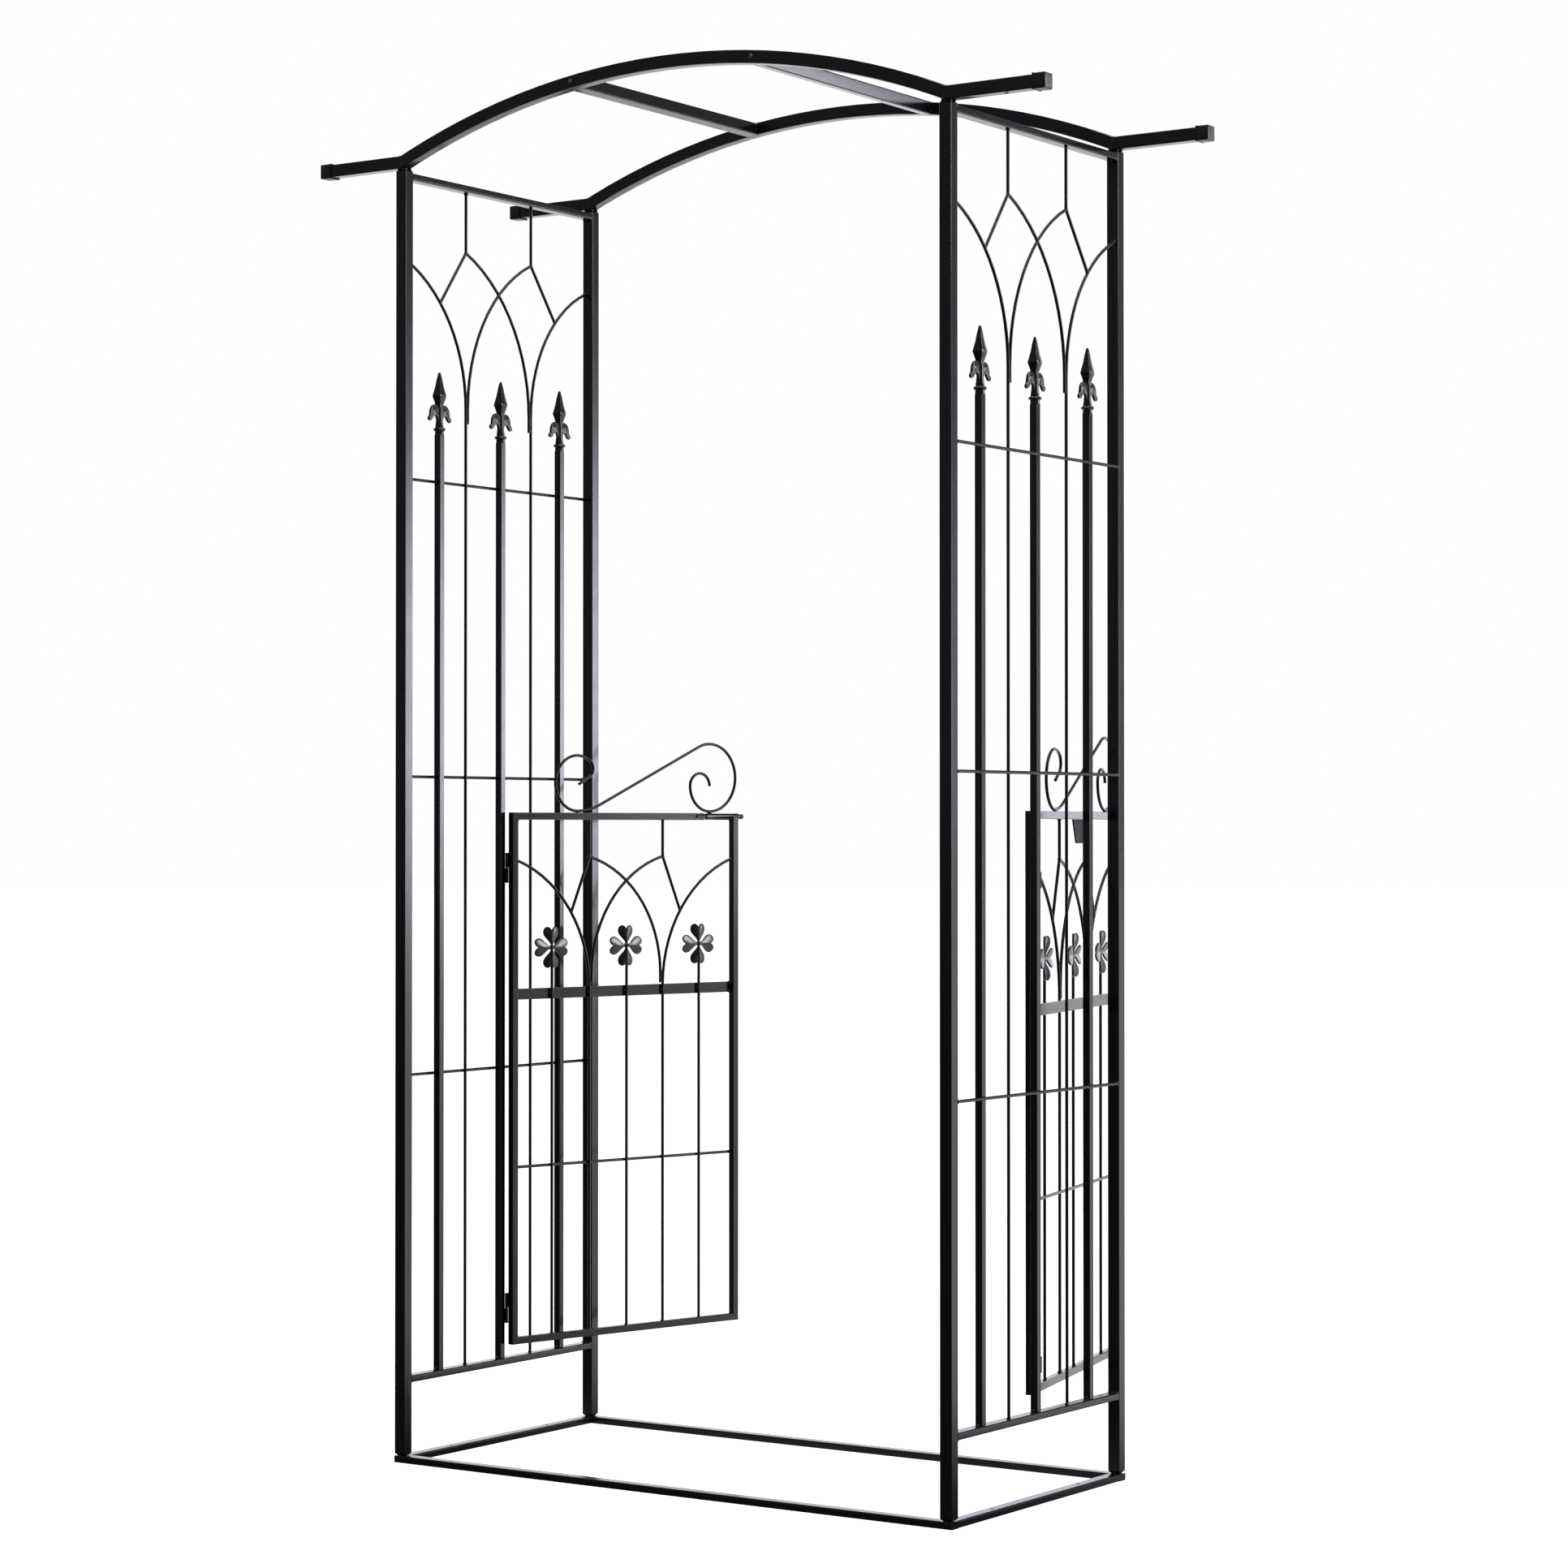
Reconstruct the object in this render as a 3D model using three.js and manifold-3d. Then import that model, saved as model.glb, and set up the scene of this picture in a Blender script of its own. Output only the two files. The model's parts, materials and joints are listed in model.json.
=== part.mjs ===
// Garden arch of powder-coated steel tube with two hinged gate leaves. Millimetres, +Z up.
// The origin is the middle of the front base tube's underside, +X to the right and +Y to the rear.
// At rest both leaves stand open towards the rear.
import * as THREE from "three";
import { mergeVertices } from "three/addons/utils/BufferGeometryUtils.js";
import Module from "manifold-3d";

const wasm = await Module();
wasm.setup();

// Overall frame, between the middles of the posts.
const frameWidth = 1012;
const frameDepth = 488;
const postTop = 2040;

// Tubes, bars and rods.
const tubeSide = 20;
const tubeCorner = 2;
const flatTubeHeight = 11;
const barSide = 12;
const barCorner = 1.2;
const rodRadius = 2.5;
const touchGap = 0.3;
const weldDepth = 0.5;

// Posts: the swaged ends that meet the base and the arches.
const neckSide = 12;
const swageHeight = 4;

// Side panels.
const bottomRailTop = 136;
const topRailDrop = 2;
const barTop = 1630;
const barSpacing = 157;
const rodSpacing = 85;
const crossRodPitch = 473;
const crossRodCount = 3;

// Gothic tracery of a side panel, as heights above the bottom rail's top and arc radii.
const panelTracery = {
  nodeHeight: 1795,
  braceHeight: 1707,
  springHeight: 1542,
  tailLength: 24,
  outerRadius: 242,
};

// Roof.
const archRise = 101;
const stubLength = 164.5;
const screwedBarShare = 1 / 3;
const archSteps = 28;

// End caps over the stubs.
const capSideWall = 1.2;
const capLength = 22;
const capWall = 2.2;
const capRim = 2.2;
const capRimStep = 0.5;
const capClearance = 0.3;

// Spear finials.
const finialHeight = 100;
const leafSpan = 56;
const leafThickness = 5;

// Base tubes: fixing holes in the two side tubes.
const fixingHoleRadius = 3;
const fixingHoleInset = 119;

// Gate leaves.
const leafTop = 1026;
const leafHeight = 868;
const centreGap = 18;
const leftOpenAngle = 75.5;
const rightOpenAngle = 76;
const midRailDrop = 288.5;
const midRailHeight = 18;
const midRailThickness = 3;
const gateRodDrop = 580;
const gateTracery = {
  nodeDrop: 73,
  braceDrop: 165,
  outerSpringDrop: 290,
  innerSpringDrop: 270,
  outerRadius: 224,
};

// Lift-off hinges between the middle bar and the leaf. The pin stands behind both.
const hingeGap = 6;
const knuckleRadius = 2.7;
const pinRadius = 1.4;
const pinClearance = 0.3;
const hingeHeight = 49;
const upperHingeDrop = 90.5;
const lowerHingeDrop = 808.5;
const hingePlateThickness = 2;

// Clovers.
const cloverDrop = 222;
const cloverReach = 32;
const cloverThickness = 2.4;
const cloverHub = 4;

// Scroll above a leaf.
const smallLoopRadius = 46;
const bigLoopRadius = 57.5;
const sweepRadius = 113;
const smallLoopPlace = 132.5;
const bigLoopInset = 54;
const hookRadius = 16;
const hookStart = THREE.MathUtils.degToRad(55);
const hookTurn = THREE.MathUtils.degToRad(116);
const hookEnd = 25;

// Latch: a bolt in the left leaf's top rail that slides into the right leaf's rail.
const boltRadius = 4;
const boltClearance = 0.3;
const boltTipOut = 13;
const boltLength = 108;
const guideRadius = 5.5;
const windowLength = 27;
const guideLength = 69;
const studRadius = 2;
const studPlace = 5;
const windowBack = 1.4;
const socketClearance = 0.5;
const socketDepth = 20;

// Pull tab under the right leaf's top rail.
const tabPlace = 245;
const tabTopLength = 55;
const tabBottomLength = 36;
const tabHeight = 37;
const tabThickness = 2.5;

const midDepth = frameDepth / 2;
const halfWidth = frameWidth / 2;
const halfTube = tubeSide / 2;
const halfBar = barSide / 2;
const postBottom = flatTubeHeight + touchGap;
const archBottom = postTop + swageHeight;
const archCornerZ = archBottom + halfTube;
const pinOffset = halfBar + hingeGap / 2;
const pinBehind = halfBar;
const capSide = tubeSide + 2 * (capClearance + capSideWall);
const leafPitch = halfWidth - 2 * pinOffset - halfBar - centreGap / 2;

const coat = { color: 0x141416, roughness: 0.42, metalness: 0.1 };
const castBlack = { color: 0x18181a, roughness: 0.5, metalness: 0.15 };
const capPlastic = { color: 0x1b1b1e, roughness: 0.55, metalness: 0 };
const boltSteel = { color: 0x1d1d20, roughness: 0.3, metalness: 0.6 };

// --- solids -------------------------------------------------------------------------------

function solid(geometry) {
  const plain = geometry.index ? geometry.toNonIndexed() : geometry.clone();
  plain.deleteAttribute("normal");
  plain.deleteAttribute("uv");
  const merged = mergeVertices(plain, 1e-4);
  return new wasm.Manifold(
    new wasm.Mesh({
      numProp: 3,
      vertProperties: merged.attributes.position.array,
      triVerts: new Uint32Array(merged.index.array),
    }),
  );
}

function joined(solids) {
  return solids.reduce((whole, piece) => whole.add(piece));
}

function geometryOf(made) {
  const mesh = made.getMesh();
  return new THREE.BufferGeometry()
    .setAttribute("position", new THREE.BufferAttribute(new Float32Array(mesh.vertProperties), 3))
    .setIndex(new THREE.BufferAttribute(new Uint32Array(mesh.triVerts), 1));
}

function piece(name, made, finish) {
  const geometry = made.isBufferGeometry ? made : geometryOf(made);
  const mesh = new THREE.Mesh(geometry, new THREE.MeshStandardMaterial(finish));
  mesh.name = name;
  return mesh;
}

function roundedRectangle(width, height, corner, segments = 3) {
  const x = width / 2 - corner;
  const y = height / 2 - corner;
  const shape = new THREE.Shape();
  const middles = [[x, y, 0], [-x, y, 1], [-x, -y, 2], [x, -y, 3]];
  for (const [middleX, middleY, quarter] of middles) {
    for (let step = 0; step <= segments; step += 1) {
      const angle = ((quarter + step / segments) * Math.PI) / 2;
      const px = middleX + corner * Math.cos(angle);
      const py = middleY + corner * Math.sin(angle);
      if (shape.curves.length || shape.currentPoint.lengthSq()) {
        shape.lineTo(px, py);
      } else {
        shape.moveTo(px, py);
      }
    }
  }
  return shape;
}

function circleShape(radius, sides = 8) {
  const points = Array.from({ length: sides }, (_, side) => {
    const angle = (2 * Math.PI * (side + 0.5)) / sides;
    return new THREE.Vector2(radius * Math.cos(angle), radius * Math.sin(angle));
  });
  return new THREE.Shape(points);
}

// A bar of the given section along +Z, from z = 0.
function uprightBar(shape, length) {
  return new THREE.ExtrudeGeometry(shape, { depth: length, bevelEnabled: false });
}

// The same, laid along +X or +Y; the section's first size stays across, its second stands up.
function barAlongX(across, upright, corner, length) {
  const shape = roundedRectangle(across, upright, corner);
  return uprightBar(shape, length).rotateX(Math.PI / 2).rotateZ(Math.PI / 2);
}

function barAlongY(across, upright, corner, length) {
  const shape = roundedRectangle(across, upright, corner);
  return uprightBar(shape, length).rotateX(-Math.PI / 2);
}

function cylinderAlongX(radius, length, sides = 16) {
  return new THREE.CylinderGeometry(radius, radius, length, sides).rotateZ(Math.PI / 2);
}

function boxBetween(low, high) {
  const size = high.map((value, axis) => value - low[axis]);
  const middle = high.map((value, axis) => (value + low[axis]) / 2);
  return solid(new THREE.BoxGeometry(...size).translate(...middle));
}

// A solid turned round the Z axis, from [radius, height] pairs.
function turned(profile, sides) {
  const points = profile.map(([radius, height]) => new THREE.Vector2(radius, height));
  return new THREE.LatheGeometry(points, sides).rotateX(Math.PI / 2);
}

// A four-sided solid whose flats face X and Y, from [half width, height] pairs.
function squareTurned(profile) {
  const corners = profile.map(([half, height]) => [half * Math.SQRT2, height]);
  return turned(corners, 4).rotateZ(Math.PI / 4);
}

// A round rod through points in a plane, given as [along, up], with the plane's x as the way along.
function straightRod(from, to) {
  const start = new THREE.Vector2(...from);
  const end = new THREE.Vector2(...to);
  const length = start.distanceTo(end);
  const lean = Math.atan2(end.x - start.x, end.y - start.y);
  return solid(
    uprightBar(circleShape(rodRadius), length)
      .rotateY(lean)
      .translate(start.x, 0, start.y),
  );
}

class PlanarArc extends THREE.Curve {
  constructor(middle, radius, fromAngle, toAngle) {
    super();
    Object.assign(this, { middle, radius, fromAngle, toAngle });
  }

  getPoint(share, target = new THREE.Vector3()) {
    const angle = THREE.MathUtils.lerp(this.fromAngle, this.toAngle, share);
    return target.set(
      this.middle[0] + this.radius * Math.cos(angle),
      0,
      this.middle[1] + this.radius * Math.sin(angle),
    );
  }
}

function arcRod(middle, radius, fromAngle, toAngle, steps = 12) {
  const path = new PlanarArc(middle, radius, fromAngle, toAngle);
  return solid(new THREE.ExtrudeGeometry(circleShape(rodRadius), { steps, extrudePath: path }));
}

// --- gothic tracery -----------------------------------------------------------------------

// Pointed-arch rods in the XZ plane, mirrored about x = 0, and the two uprights they join.
function traceryRods(size) {
  const rods = [];
  for (const side of [-1, 1]) {
    const rodX = side * size.rodX;
    const innerX = rodX - side * 2 * rodRadius;
    rods.push(straightRod([rodX, size.bottom], [rodX, size.outerSpring]));
    rods.push(straightRod([rodX, size.node], [rodX, size.top]));

    const outerMiddle = [rodX + side * size.outerRadius, size.outerSpring];
    const startAngle = side > 0 ? Math.PI : 0;
    const outerReach = size.edge - size.rodX + rodRadius;
    const outerTurn = Math.acos(1 - outerReach / size.outerRadius);
    rods.push(
      arcRod(outerMiddle, size.outerRadius, startAngle, startAngle - side * outerTurn),
    );

    const across = size.rodX + size.rodX - 2 * rodRadius;
    const rise = size.node - size.innerSpring;
    const innerRadius = (across ** 2 + rise ** 2) / (2 * across);
    const innerMiddle = [innerX - side * innerRadius, size.innerSpring];
    const innerStart = side > 0 ? 0 : Math.PI;
    const innerTurn = Math.asin(rise / innerRadius);
    rods.push(
      arcRod(innerMiddle, innerRadius, innerStart, innerStart + side * innerTurn, 14),
    );
    if (size.tail) {
      rods.push(straightRod([innerX, size.innerSpring - size.tail], [innerX, size.innerSpring]));
    }

    const braceRise = size.brace - size.outerSpring;
    const braceX = size.outerRadius - Math.sqrt(size.outerRadius ** 2 - braceRise ** 2);
    rods.push(straightRod([rodX + side * braceX, size.brace], [rodX, size.node]));
  }
  return rods;
}

// --- fixed frame --------------------------------------------------------------------------

function post() {
  const length = archBottom - touchGap - postBottom;
  const profile = [
    [0, 0],
    [neckSide / 2, 0],
    [halfTube, swageHeight],
    [halfTube, length - swageHeight],
    [neckSide / 2, length],
    [0, length],
  ];
  const rounded = uprightBar(roundedRectangle(tubeSide, tubeSide, tubeCorner), length);
  return solid(squareTurned(profile)).intersect(solid(rounded)).translate(0, 0, postBottom);
}

function sideBaseTube() {
  const length = frameDepth - tubeSide - 2 * touchGap;
  const tube = barAlongY(tubeSide, flatTubeHeight, tubeCorner, length);
  tube.translate(0, halfTube + touchGap, flatTubeHeight / 2);
  let made = solid(tube);
  for (const holeY of [fixingHoleInset, frameDepth - fixingHoleInset]) {
    const drill = new THREE.CylinderGeometry(
      fixingHoleRadius,
      fixingHoleRadius,
      2 * flatTubeHeight,
      16,
    );
    drill.rotateX(Math.PI / 2).translate(0, holeY, flatTubeHeight / 2);
    made = made.subtract(solid(drill));
  }
  return made;
}

function sideRail(topZ) {
  const length = frameDepth - tubeSide - 2 * touchGap;
  return barAlongY(tubeSide, flatTubeHeight, tubeCorner, length).translate(
    0,
    halfTube + touchGap,
    topZ - flatTubeHeight / 2,
  );
}

// A broad cast leaf that rises from the stem, folds over and ends in a point beside it.
function finialLeaf(side) {
  const reach = leafSpan / 2;
  const shape = new THREE.Shape();
  shape.moveTo(0, 46.5);
  shape.bezierCurveTo(0.4 * reach, 48, 0.72 * reach, 42, 0.83 * reach, 31);
  shape.bezierCurveTo(0.87 * reach, 28, 0.94 * reach, 26, reach, 24.5);
  shape.lineTo(0.9 * reach, 21.5);
  shape.bezierCurveTo(0.7 * reach, 23, 0.55 * reach, 31, 0.4 * reach, 30.5);
  shape.bezierCurveTo(0.26 * reach, 28, 0.2 * reach, 20, 0, 14);
  const leaf = new THREE.ExtrudeGeometry(shape, {
    depth: leafThickness,
    bevelEnabled: false,
    curveSegments: 6,
  });
  leaf.translate(0, 0, -leafThickness / 2).rotateX(Math.PI / 2);
  return solid(leaf.rotateZ(side > 0 ? Math.PI / 2 : -Math.PI / 2));
}

function finial() {
  const sleeve = [[0, 0], [7.2, 0], [7.2, 5], [6.6, 6], [8.9, 8.5], [6, 11.5]];
  const flare = [[6.4, 13], [4.3, 21], [4, 47], [0, 47]];
  const spear = [[0, 44], [4.4, 44], [4.4, 47], [8.2, 62.5], [5, 77], [3.3, 89], [1.5, 97.5]];
  const tip = [[1, finialHeight], [0, finialHeight]];
  return joined([
    solid(turned([...sleeve, ...flare], 12)),
    solid(squareTurned([...spear, ...tip])),
    finialLeaf(1),
    finialLeaf(-1),
  ]);
}

function panelLattice(side) {
  const crossRodX = halfBar + touchGap + rodRadius;
  const traceryX = crossRodX - 2 * rodRadius + weldDepth;
  const edge = midDepth - halfTube - touchGap;
  const rods = traceryRods({
    rodX: rodSpacing,
    edge,
    bottom: bottomRailTop + touchGap,
    top: postTop - topRailDrop - flatTubeHeight - touchGap,
    node: bottomRailTop + panelTracery.nodeHeight,
    brace: bottomRailTop + panelTracery.braceHeight,
    outerSpring: bottomRailTop + panelTracery.springHeight,
    innerSpring: bottomRailTop + panelTracery.springHeight,
    tail: panelTracery.tailLength,
    outerRadius: panelTracery.outerRadius,
  });
  const tracery = joined(rods).translate(0, -side * traceryX, 0);
  const crossRods = Array.from({ length: crossRodCount }, (_, row) => {
    const rod = cylinderAlongX(rodRadius, 2 * edge, 8);
    return solid(rod.translate(0, -side * crossRodX, bottomRailTop + (row + 1) * crossRodPitch));
  });
  const trimmed = boxBetween([-edge, -tubeSide, 0], [edge, tubeSide, postTop]);
  return joined([tracery, ...crossRods]).intersect(trimmed).rotate(0, 0, 90);
}

function arch() {
  const radius = (halfWidth ** 2 + archRise ** 2) / (2 * archRise);
  const half = Math.asin(halfWidth / radius);
  const extra = tubeSide / radius;
  const middle = [0, archCornerZ + archRise - radius];
  const path = new PlanarArc(
    middle,
    radius,
    Math.PI / 2 + half + extra,
    Math.PI / 2 - half - extra,
  );
  const section = roundedRectangle(tubeSide, tubeSide, tubeCorner, 2);
  let made = solid(new THREE.ExtrudeGeometry(section, { steps: archSteps, extrudePath: path }));
  const halfSpace = (side, outwards, shift) => {
    const reach = 4 * tubeSide;
    const block = new THREE.BoxGeometry(reach, reach, reach);
    block.translate((outwards * side * reach) / 2, 0, 0).rotateY((side * half) / 2);
    return solid(block.translate(side * (halfWidth + shift), 0, archCornerZ));
  };
  const stubs = [-1, 1].map((side) => {
    const stub = barAlongX(tubeSide, tubeSide, tubeCorner, stubLength + tubeSide);
    stub.translate(-tubeSide, 0, 0).rotateZ(side > 0 ? 0 : Math.PI);
    stub.translate(side * halfWidth, 0, archCornerZ);
    made = made.subtract(halfSpace(side, 1, 0));
    return solid(stub).subtract(halfSpace(side, -1, -weldDepth));
  });
  return joined([made, ...stubs]);
}

// A bar from the front arch to the rear one, square to the bow where it is screwed on.
function crossBar(side) {
  const radius = (halfWidth ** 2 + archRise ** 2) / (2 * archRise);
  const across = side * screwedBarShare * halfWidth;
  const rise = Math.sqrt(radius ** 2 - across ** 2) - (radius - archRise);
  const length = frameDepth - tubeSide - 2 * touchGap;
  return barAlongY(tubeSide, tubeSide, tubeCorner, length)
    .rotateY(Math.asin(across / radius))
    .translate(across, halfTube + touchGap, archCornerZ + rise);
}

function endCap(side) {
  const pocketSide = tubeSide + 2 * capClearance;
  const shell = barAlongX(capSide, capSide, tubeCorner + 1, capLength);
  const rimSide = capSide + 2 * capRimStep;
  const rim = barAlongX(rimSide, rimSide, tubeCorner + 1, capRim);
  const pocket = barAlongX(pocketSide, pocketSide, tubeCorner, capLength);
  pocket.translate(-capWall, 0, 0);
  const cap = solid(shell).add(solid(rim)).subtract(solid(pocket));
  const mouth = halfWidth + stubLength + capWall + capClearance - capLength;
  const turn = side > 0 ? 0 : 180;
  return cap.rotate(0, 0, turn).translate(side * mouth, 0, archCornerZ);
}

// --- gate leaves --------------------------------------------------------------------------
// A leaf is drawn closed, along +X from its hinge pin's place, with its middle plane at Y = 0.

const hingeStileX = pinOffset;
const freeStileX = hingeStileX + leafPitch;
const leafEndX = freeStileX + halfBar;
const topRailZ = leafTop - halfBar;
const leafBottom = leafTop - leafHeight;

function leafFrame() {
  const section = roundedRectangle(barSide, barSide, barCorner);
  const hingeStile = uprightBar(section, leafHeight).translate(hingeStileX, 0, leafBottom);
  const freeHeight = leafHeight - barSide / 2;
  const freeStile = uprightBar(section, freeHeight).translate(freeStileX, 0, leafBottom);
  const bottomRail = barAlongX(barSide, barSide, barCorner, leafPitch);
  bottomRail.translate(hingeStileX, 0, leafBottom + halfBar);
  return joined([hingeStile, freeStile, bottomRail].map(solid));
}

function rightLeafFrame() {
  const rail = barAlongX(barSide, barSide, barCorner, leafEndX - hingeStileX);
  rail.translate(hingeStileX, 0, topRailZ);
  const socket = cylinderAlongX(boltRadius + socketClearance, 2 * socketDepth);
  socket.translate(leafEndX, 0, topRailZ);
  return leafFrame().add(solid(rail)).subtract(solid(socket));
}

const windowEnd = leafEndX - guideLength;
const windowStart = windowEnd - windowLength;
const boltTip = leafEndX + boltTipOut;
const boltTail = boltTip - boltLength;

// The left leaf's top rail: square up to the window, then a round guide over the free stile.
function leftLeafFrame() {
  const rail = barAlongX(barSide, barSide, barCorner, windowEnd - hingeStileX);
  rail.translate(hingeStileX, 0, topRailZ);
  const guide = cylinderAlongX(guideRadius, guideLength + 4, 20);
  guide.translate(windowEnd + guideLength / 2, 0, topRailZ);
  const boreStart = boltTail - 4;
  const bore = cylinderAlongX(boltRadius + boltClearance, 2 * (leafEndX + 4 - boreStart));
  bore.translate(leafEndX + 4, 0, topRailZ);
  const window = boxBetween(
    [windowStart, -barSide, topRailZ - barSide],
    [windowEnd, halfBar - windowBack, topRailZ + barSide],
  );
  const back = boxBetween(
    [windowStart - 1, halfBar - windowBack, topRailZ - guideRadius + 1],
    [windowEnd + 1, halfBar - 0.2, topRailZ + guideRadius - 1],
  );
  return leafFrame()
    .add(solid(rail).subtract(window))
    .add(solid(guide).subtract(window))
    .subtract(solid(bore))
    .add(back);
}

function latchBolt() {
  const rod = cylinderAlongX(boltRadius, boltLength);
  rod.translate(boltTail + boltLength / 2, 0, topRailZ);
  const stud = new THREE.CylinderGeometry(studRadius, studRadius, halfBar + 2, 12);
  stud.translate(windowStart + studPlace, -(halfBar + 2) / 2, topRailZ);
  return solid(rod).add(solid(stud));
}

function midRail() {
  const across = leafPitch - barSide - 2 * touchGap;
  const rail = barAlongX(midRailThickness, midRailHeight, 0.8, across);
  const middleY = rodRadius + touchGap + midRailThickness / 2;
  const middleZ = leafTop - midRailDrop - midRailHeight / 2;
  return rail.translate(hingeStileX + halfBar + touchGap, middleY, middleZ);
}

function leafLattice() {
  const edge = leafPitch / 2 - halfBar - touchGap;
  const middleX = hingeStileX + leafPitch / 2;
  const rods = traceryRods({
    rodX: leafPitch / 6,
    edge,
    bottom: leafBottom + barSide + touchGap,
    top: leafTop - barSide - touchGap,
    node: leafTop - gateTracery.nodeDrop,
    brace: leafTop - gateTracery.braceDrop,
    outerSpring: leafTop - gateTracery.outerSpringDrop,
    innerSpring: leafTop - gateTracery.innerSpringDrop,
    tail: 0,
    outerRadius: gateTracery.outerRadius,
  });
  const crossRod = cylinderAlongX(rodRadius, 2 * edge, 8);
  crossRod.translate(0, 2 * rodRadius - weldDepth, leafTop - gateRodDrop);
  const trimmed = boxBetween([-edge, -barSide, leafBottom], [edge, barSide, leafTop]);
  return joined([...rods, solid(crossRod)]).intersect(trimmed).translate(middleX, 0, 0);
}

function heartLeaf() {
  const shape = new THREE.Shape();
  const width = 0.42 * cloverReach;
  shape.moveTo(0, 1);
  for (const side of [1, -1]) {
    const lobe = (x, y) => [side * x * width, y * cloverReach];
    if (side > 0) {
      shape.bezierCurveTo(...lobe(0.35, 0.25), ...lobe(1, 0.4), ...lobe(1, 0.7));
      shape.bezierCurveTo(...lobe(1, 0.95), ...lobe(0.45, 1.1), ...lobe(0, 0.84));
    } else {
      shape.bezierCurveTo(...lobe(0.45, 1.1), ...lobe(1, 0.95), ...lobe(1, 0.7));
      shape.bezierCurveTo(...lobe(1, 0.4), ...lobe(0.35, 0.25), 0, 1);
    }
  }
  const leaf = new THREE.ExtrudeGeometry(shape, {
    depth: cloverThickness,
    bevelEnabled: false,
    curveSegments: 7,
  });
  return leaf.translate(0, 0, -cloverThickness / 2).rotateX(Math.PI / 2);
}

function clover(place) {
  const forward = -touchGap - weldDepth;
  const middleZ = leafTop - cloverDrop;
  const hub = new THREE.CylinderGeometry(cloverHub, cloverHub, cloverThickness, 12);
  const leaves = [0, 1, 2, 3].map((quarter) =>
    solid(heartLeaf().rotateY((quarter * Math.PI) / 2).translate(0, 0, middleZ)),
  );
  const stem = straightRod([0, leafBottom + barSide + touchGap], [0, middleZ]);
  const whole = joined([solid(hub.translate(0, 0, middleZ)), stem, ...leaves]);
  return whole.translate(place, forward, 0);
}

function scrollRod() {
  const low = rodRadius + touchGap;
  const bothRadii = sweepRadius + bigLoopRadius;
  const bigX = leafPitch - smallLoopPlace - bigLoopInset;
  const apart = Math.hypot(bigX, sweepRadius - bigLoopRadius);
  const scrollLean =
    Math.atan2(bigLoopRadius - sweepRadius, bigX) + Math.asin(bothRadii / apart);
  const arcs = [];
  const quarter = Math.PI / 2;
  const smallMiddle = [0, low + smallLoopRadius];
  const hookShift = smallLoopRadius - hookRadius;
  const hookMiddle = [
    hookShift * Math.cos(hookStart),
    smallMiddle[1] + hookShift * Math.sin(hookStart),
  ];
  const innerAngle = hookStart - hookTurn;
  const hook = new PlanarArc(hookMiddle, hookRadius, innerAngle, hookStart);
  const ahead = new THREE.Vector3(-Math.sin(innerAngle), 0, Math.cos(innerAngle));
  const innerEnd = hook.getPoint(0).addScaledVector(ahead, -hookEnd);
  arcs.push(new THREE.LineCurve3(innerEnd, hook.getPoint(0)));
  arcs.push(hook);
  arcs.push(new PlanarArc(smallMiddle, smallLoopRadius, hookStart, 3 * quarter));
  const sweepMiddle = [0, low + sweepRadius];
  arcs.push(new PlanarArc(sweepMiddle, sweepRadius, -quarter, -quarter + scrollLean));

  const cosLean = Math.cos(scrollLean);
  const sinLean = Math.sin(scrollLean);
  const run = Math.sqrt(apart ** 2 - bothRadii ** 2);
  const lineStart = [sweepRadius * sinLean, low + sweepRadius * (1 - cosLean)];
  const lineEnd = [lineStart[0] + run * cosLean, lineStart[1] + run * sinLean];
  const from = new THREE.Vector3(lineStart[0], 0, lineStart[1]);
  arcs.push(new THREE.LineCurve3(from, new THREE.Vector3(lineEnd[0], 0, lineEnd[1])));

  const innerRadius = 0.75 * bigLoopRadius;
  const curlRadius = innerRadius / 2;
  const curlMiddle = [bigX - curlRadius, low + innerRadius];
  const bigMiddle = [bigX, low + bigLoopRadius];
  arcs.push(new PlanarArc(bigMiddle, bigLoopRadius, quarter + scrollLean, -quarter));
  arcs.push(new PlanarArc([bigX, low + innerRadius], innerRadius, -quarter, -2 * quarter));
  arcs.push(new PlanarArc(curlMiddle, curlRadius, 2 * quarter, 0));

  const points = [];
  for (const arc of arcs) {
    const turn = arc.isLineCurve3 ? 0 : Math.abs(arc.toAngle - arc.fromAngle);
    const steps = arc.isLineCurve3 ? 4 : Math.max(3, Math.ceil(turn / 0.3));
    for (let step = points.length ? 1 : 0; step <= steps; step += 1) {
      points.push(arc.getPoint(step / steps));
    }
  }
  const path = new THREE.CatmullRomCurve3(points, false, "centripetal");
  const rod = new THREE.ExtrudeGeometry(circleShape(rodRadius), {
    steps: points.length,
    extrudePath: path,
  });
  return rod.translate(hingeStileX + smallLoopPlace, 0, leafTop);
}

function pullTab() {
  const shape = new THREE.Shape();
  shape.moveTo(0, 0);
  shape.lineTo(tabTopLength - tabBottomLength, -tabHeight);
  shape.lineTo(tabTopLength, -tabHeight);
  shape.lineTo(tabTopLength, 0);
  const tab = new THREE.ExtrudeGeometry(shape, { depth: tabThickness, bevelEnabled: false });
  tab.rotateX(Math.PI / 2).translate(hingeStileX + tabPlace, 0, leafTop - barSide - touchGap);
  return tab.translate(0, -rodRadius - touchGap, 0);
}

// --- hinges -------------------------------------------------------------------------------

// Both halves are drawn about the pin, with the bar on the -X side and the stile on the +X side.

const knuckleHeight = hingeHeight / 2 - touchGap;
const plateEdge = hingeGap / 2 + barSide;

function hingePlate(side, low, high) {
  const ends = [side * (knuckleRadius - 1), side * plateEdge].sort((a, b) => a - b);
  return boxBetween(
    [ends[0], touchGap, low],
    [ends[1], touchGap + hingePlateThickness, high],
  );
}

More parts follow.
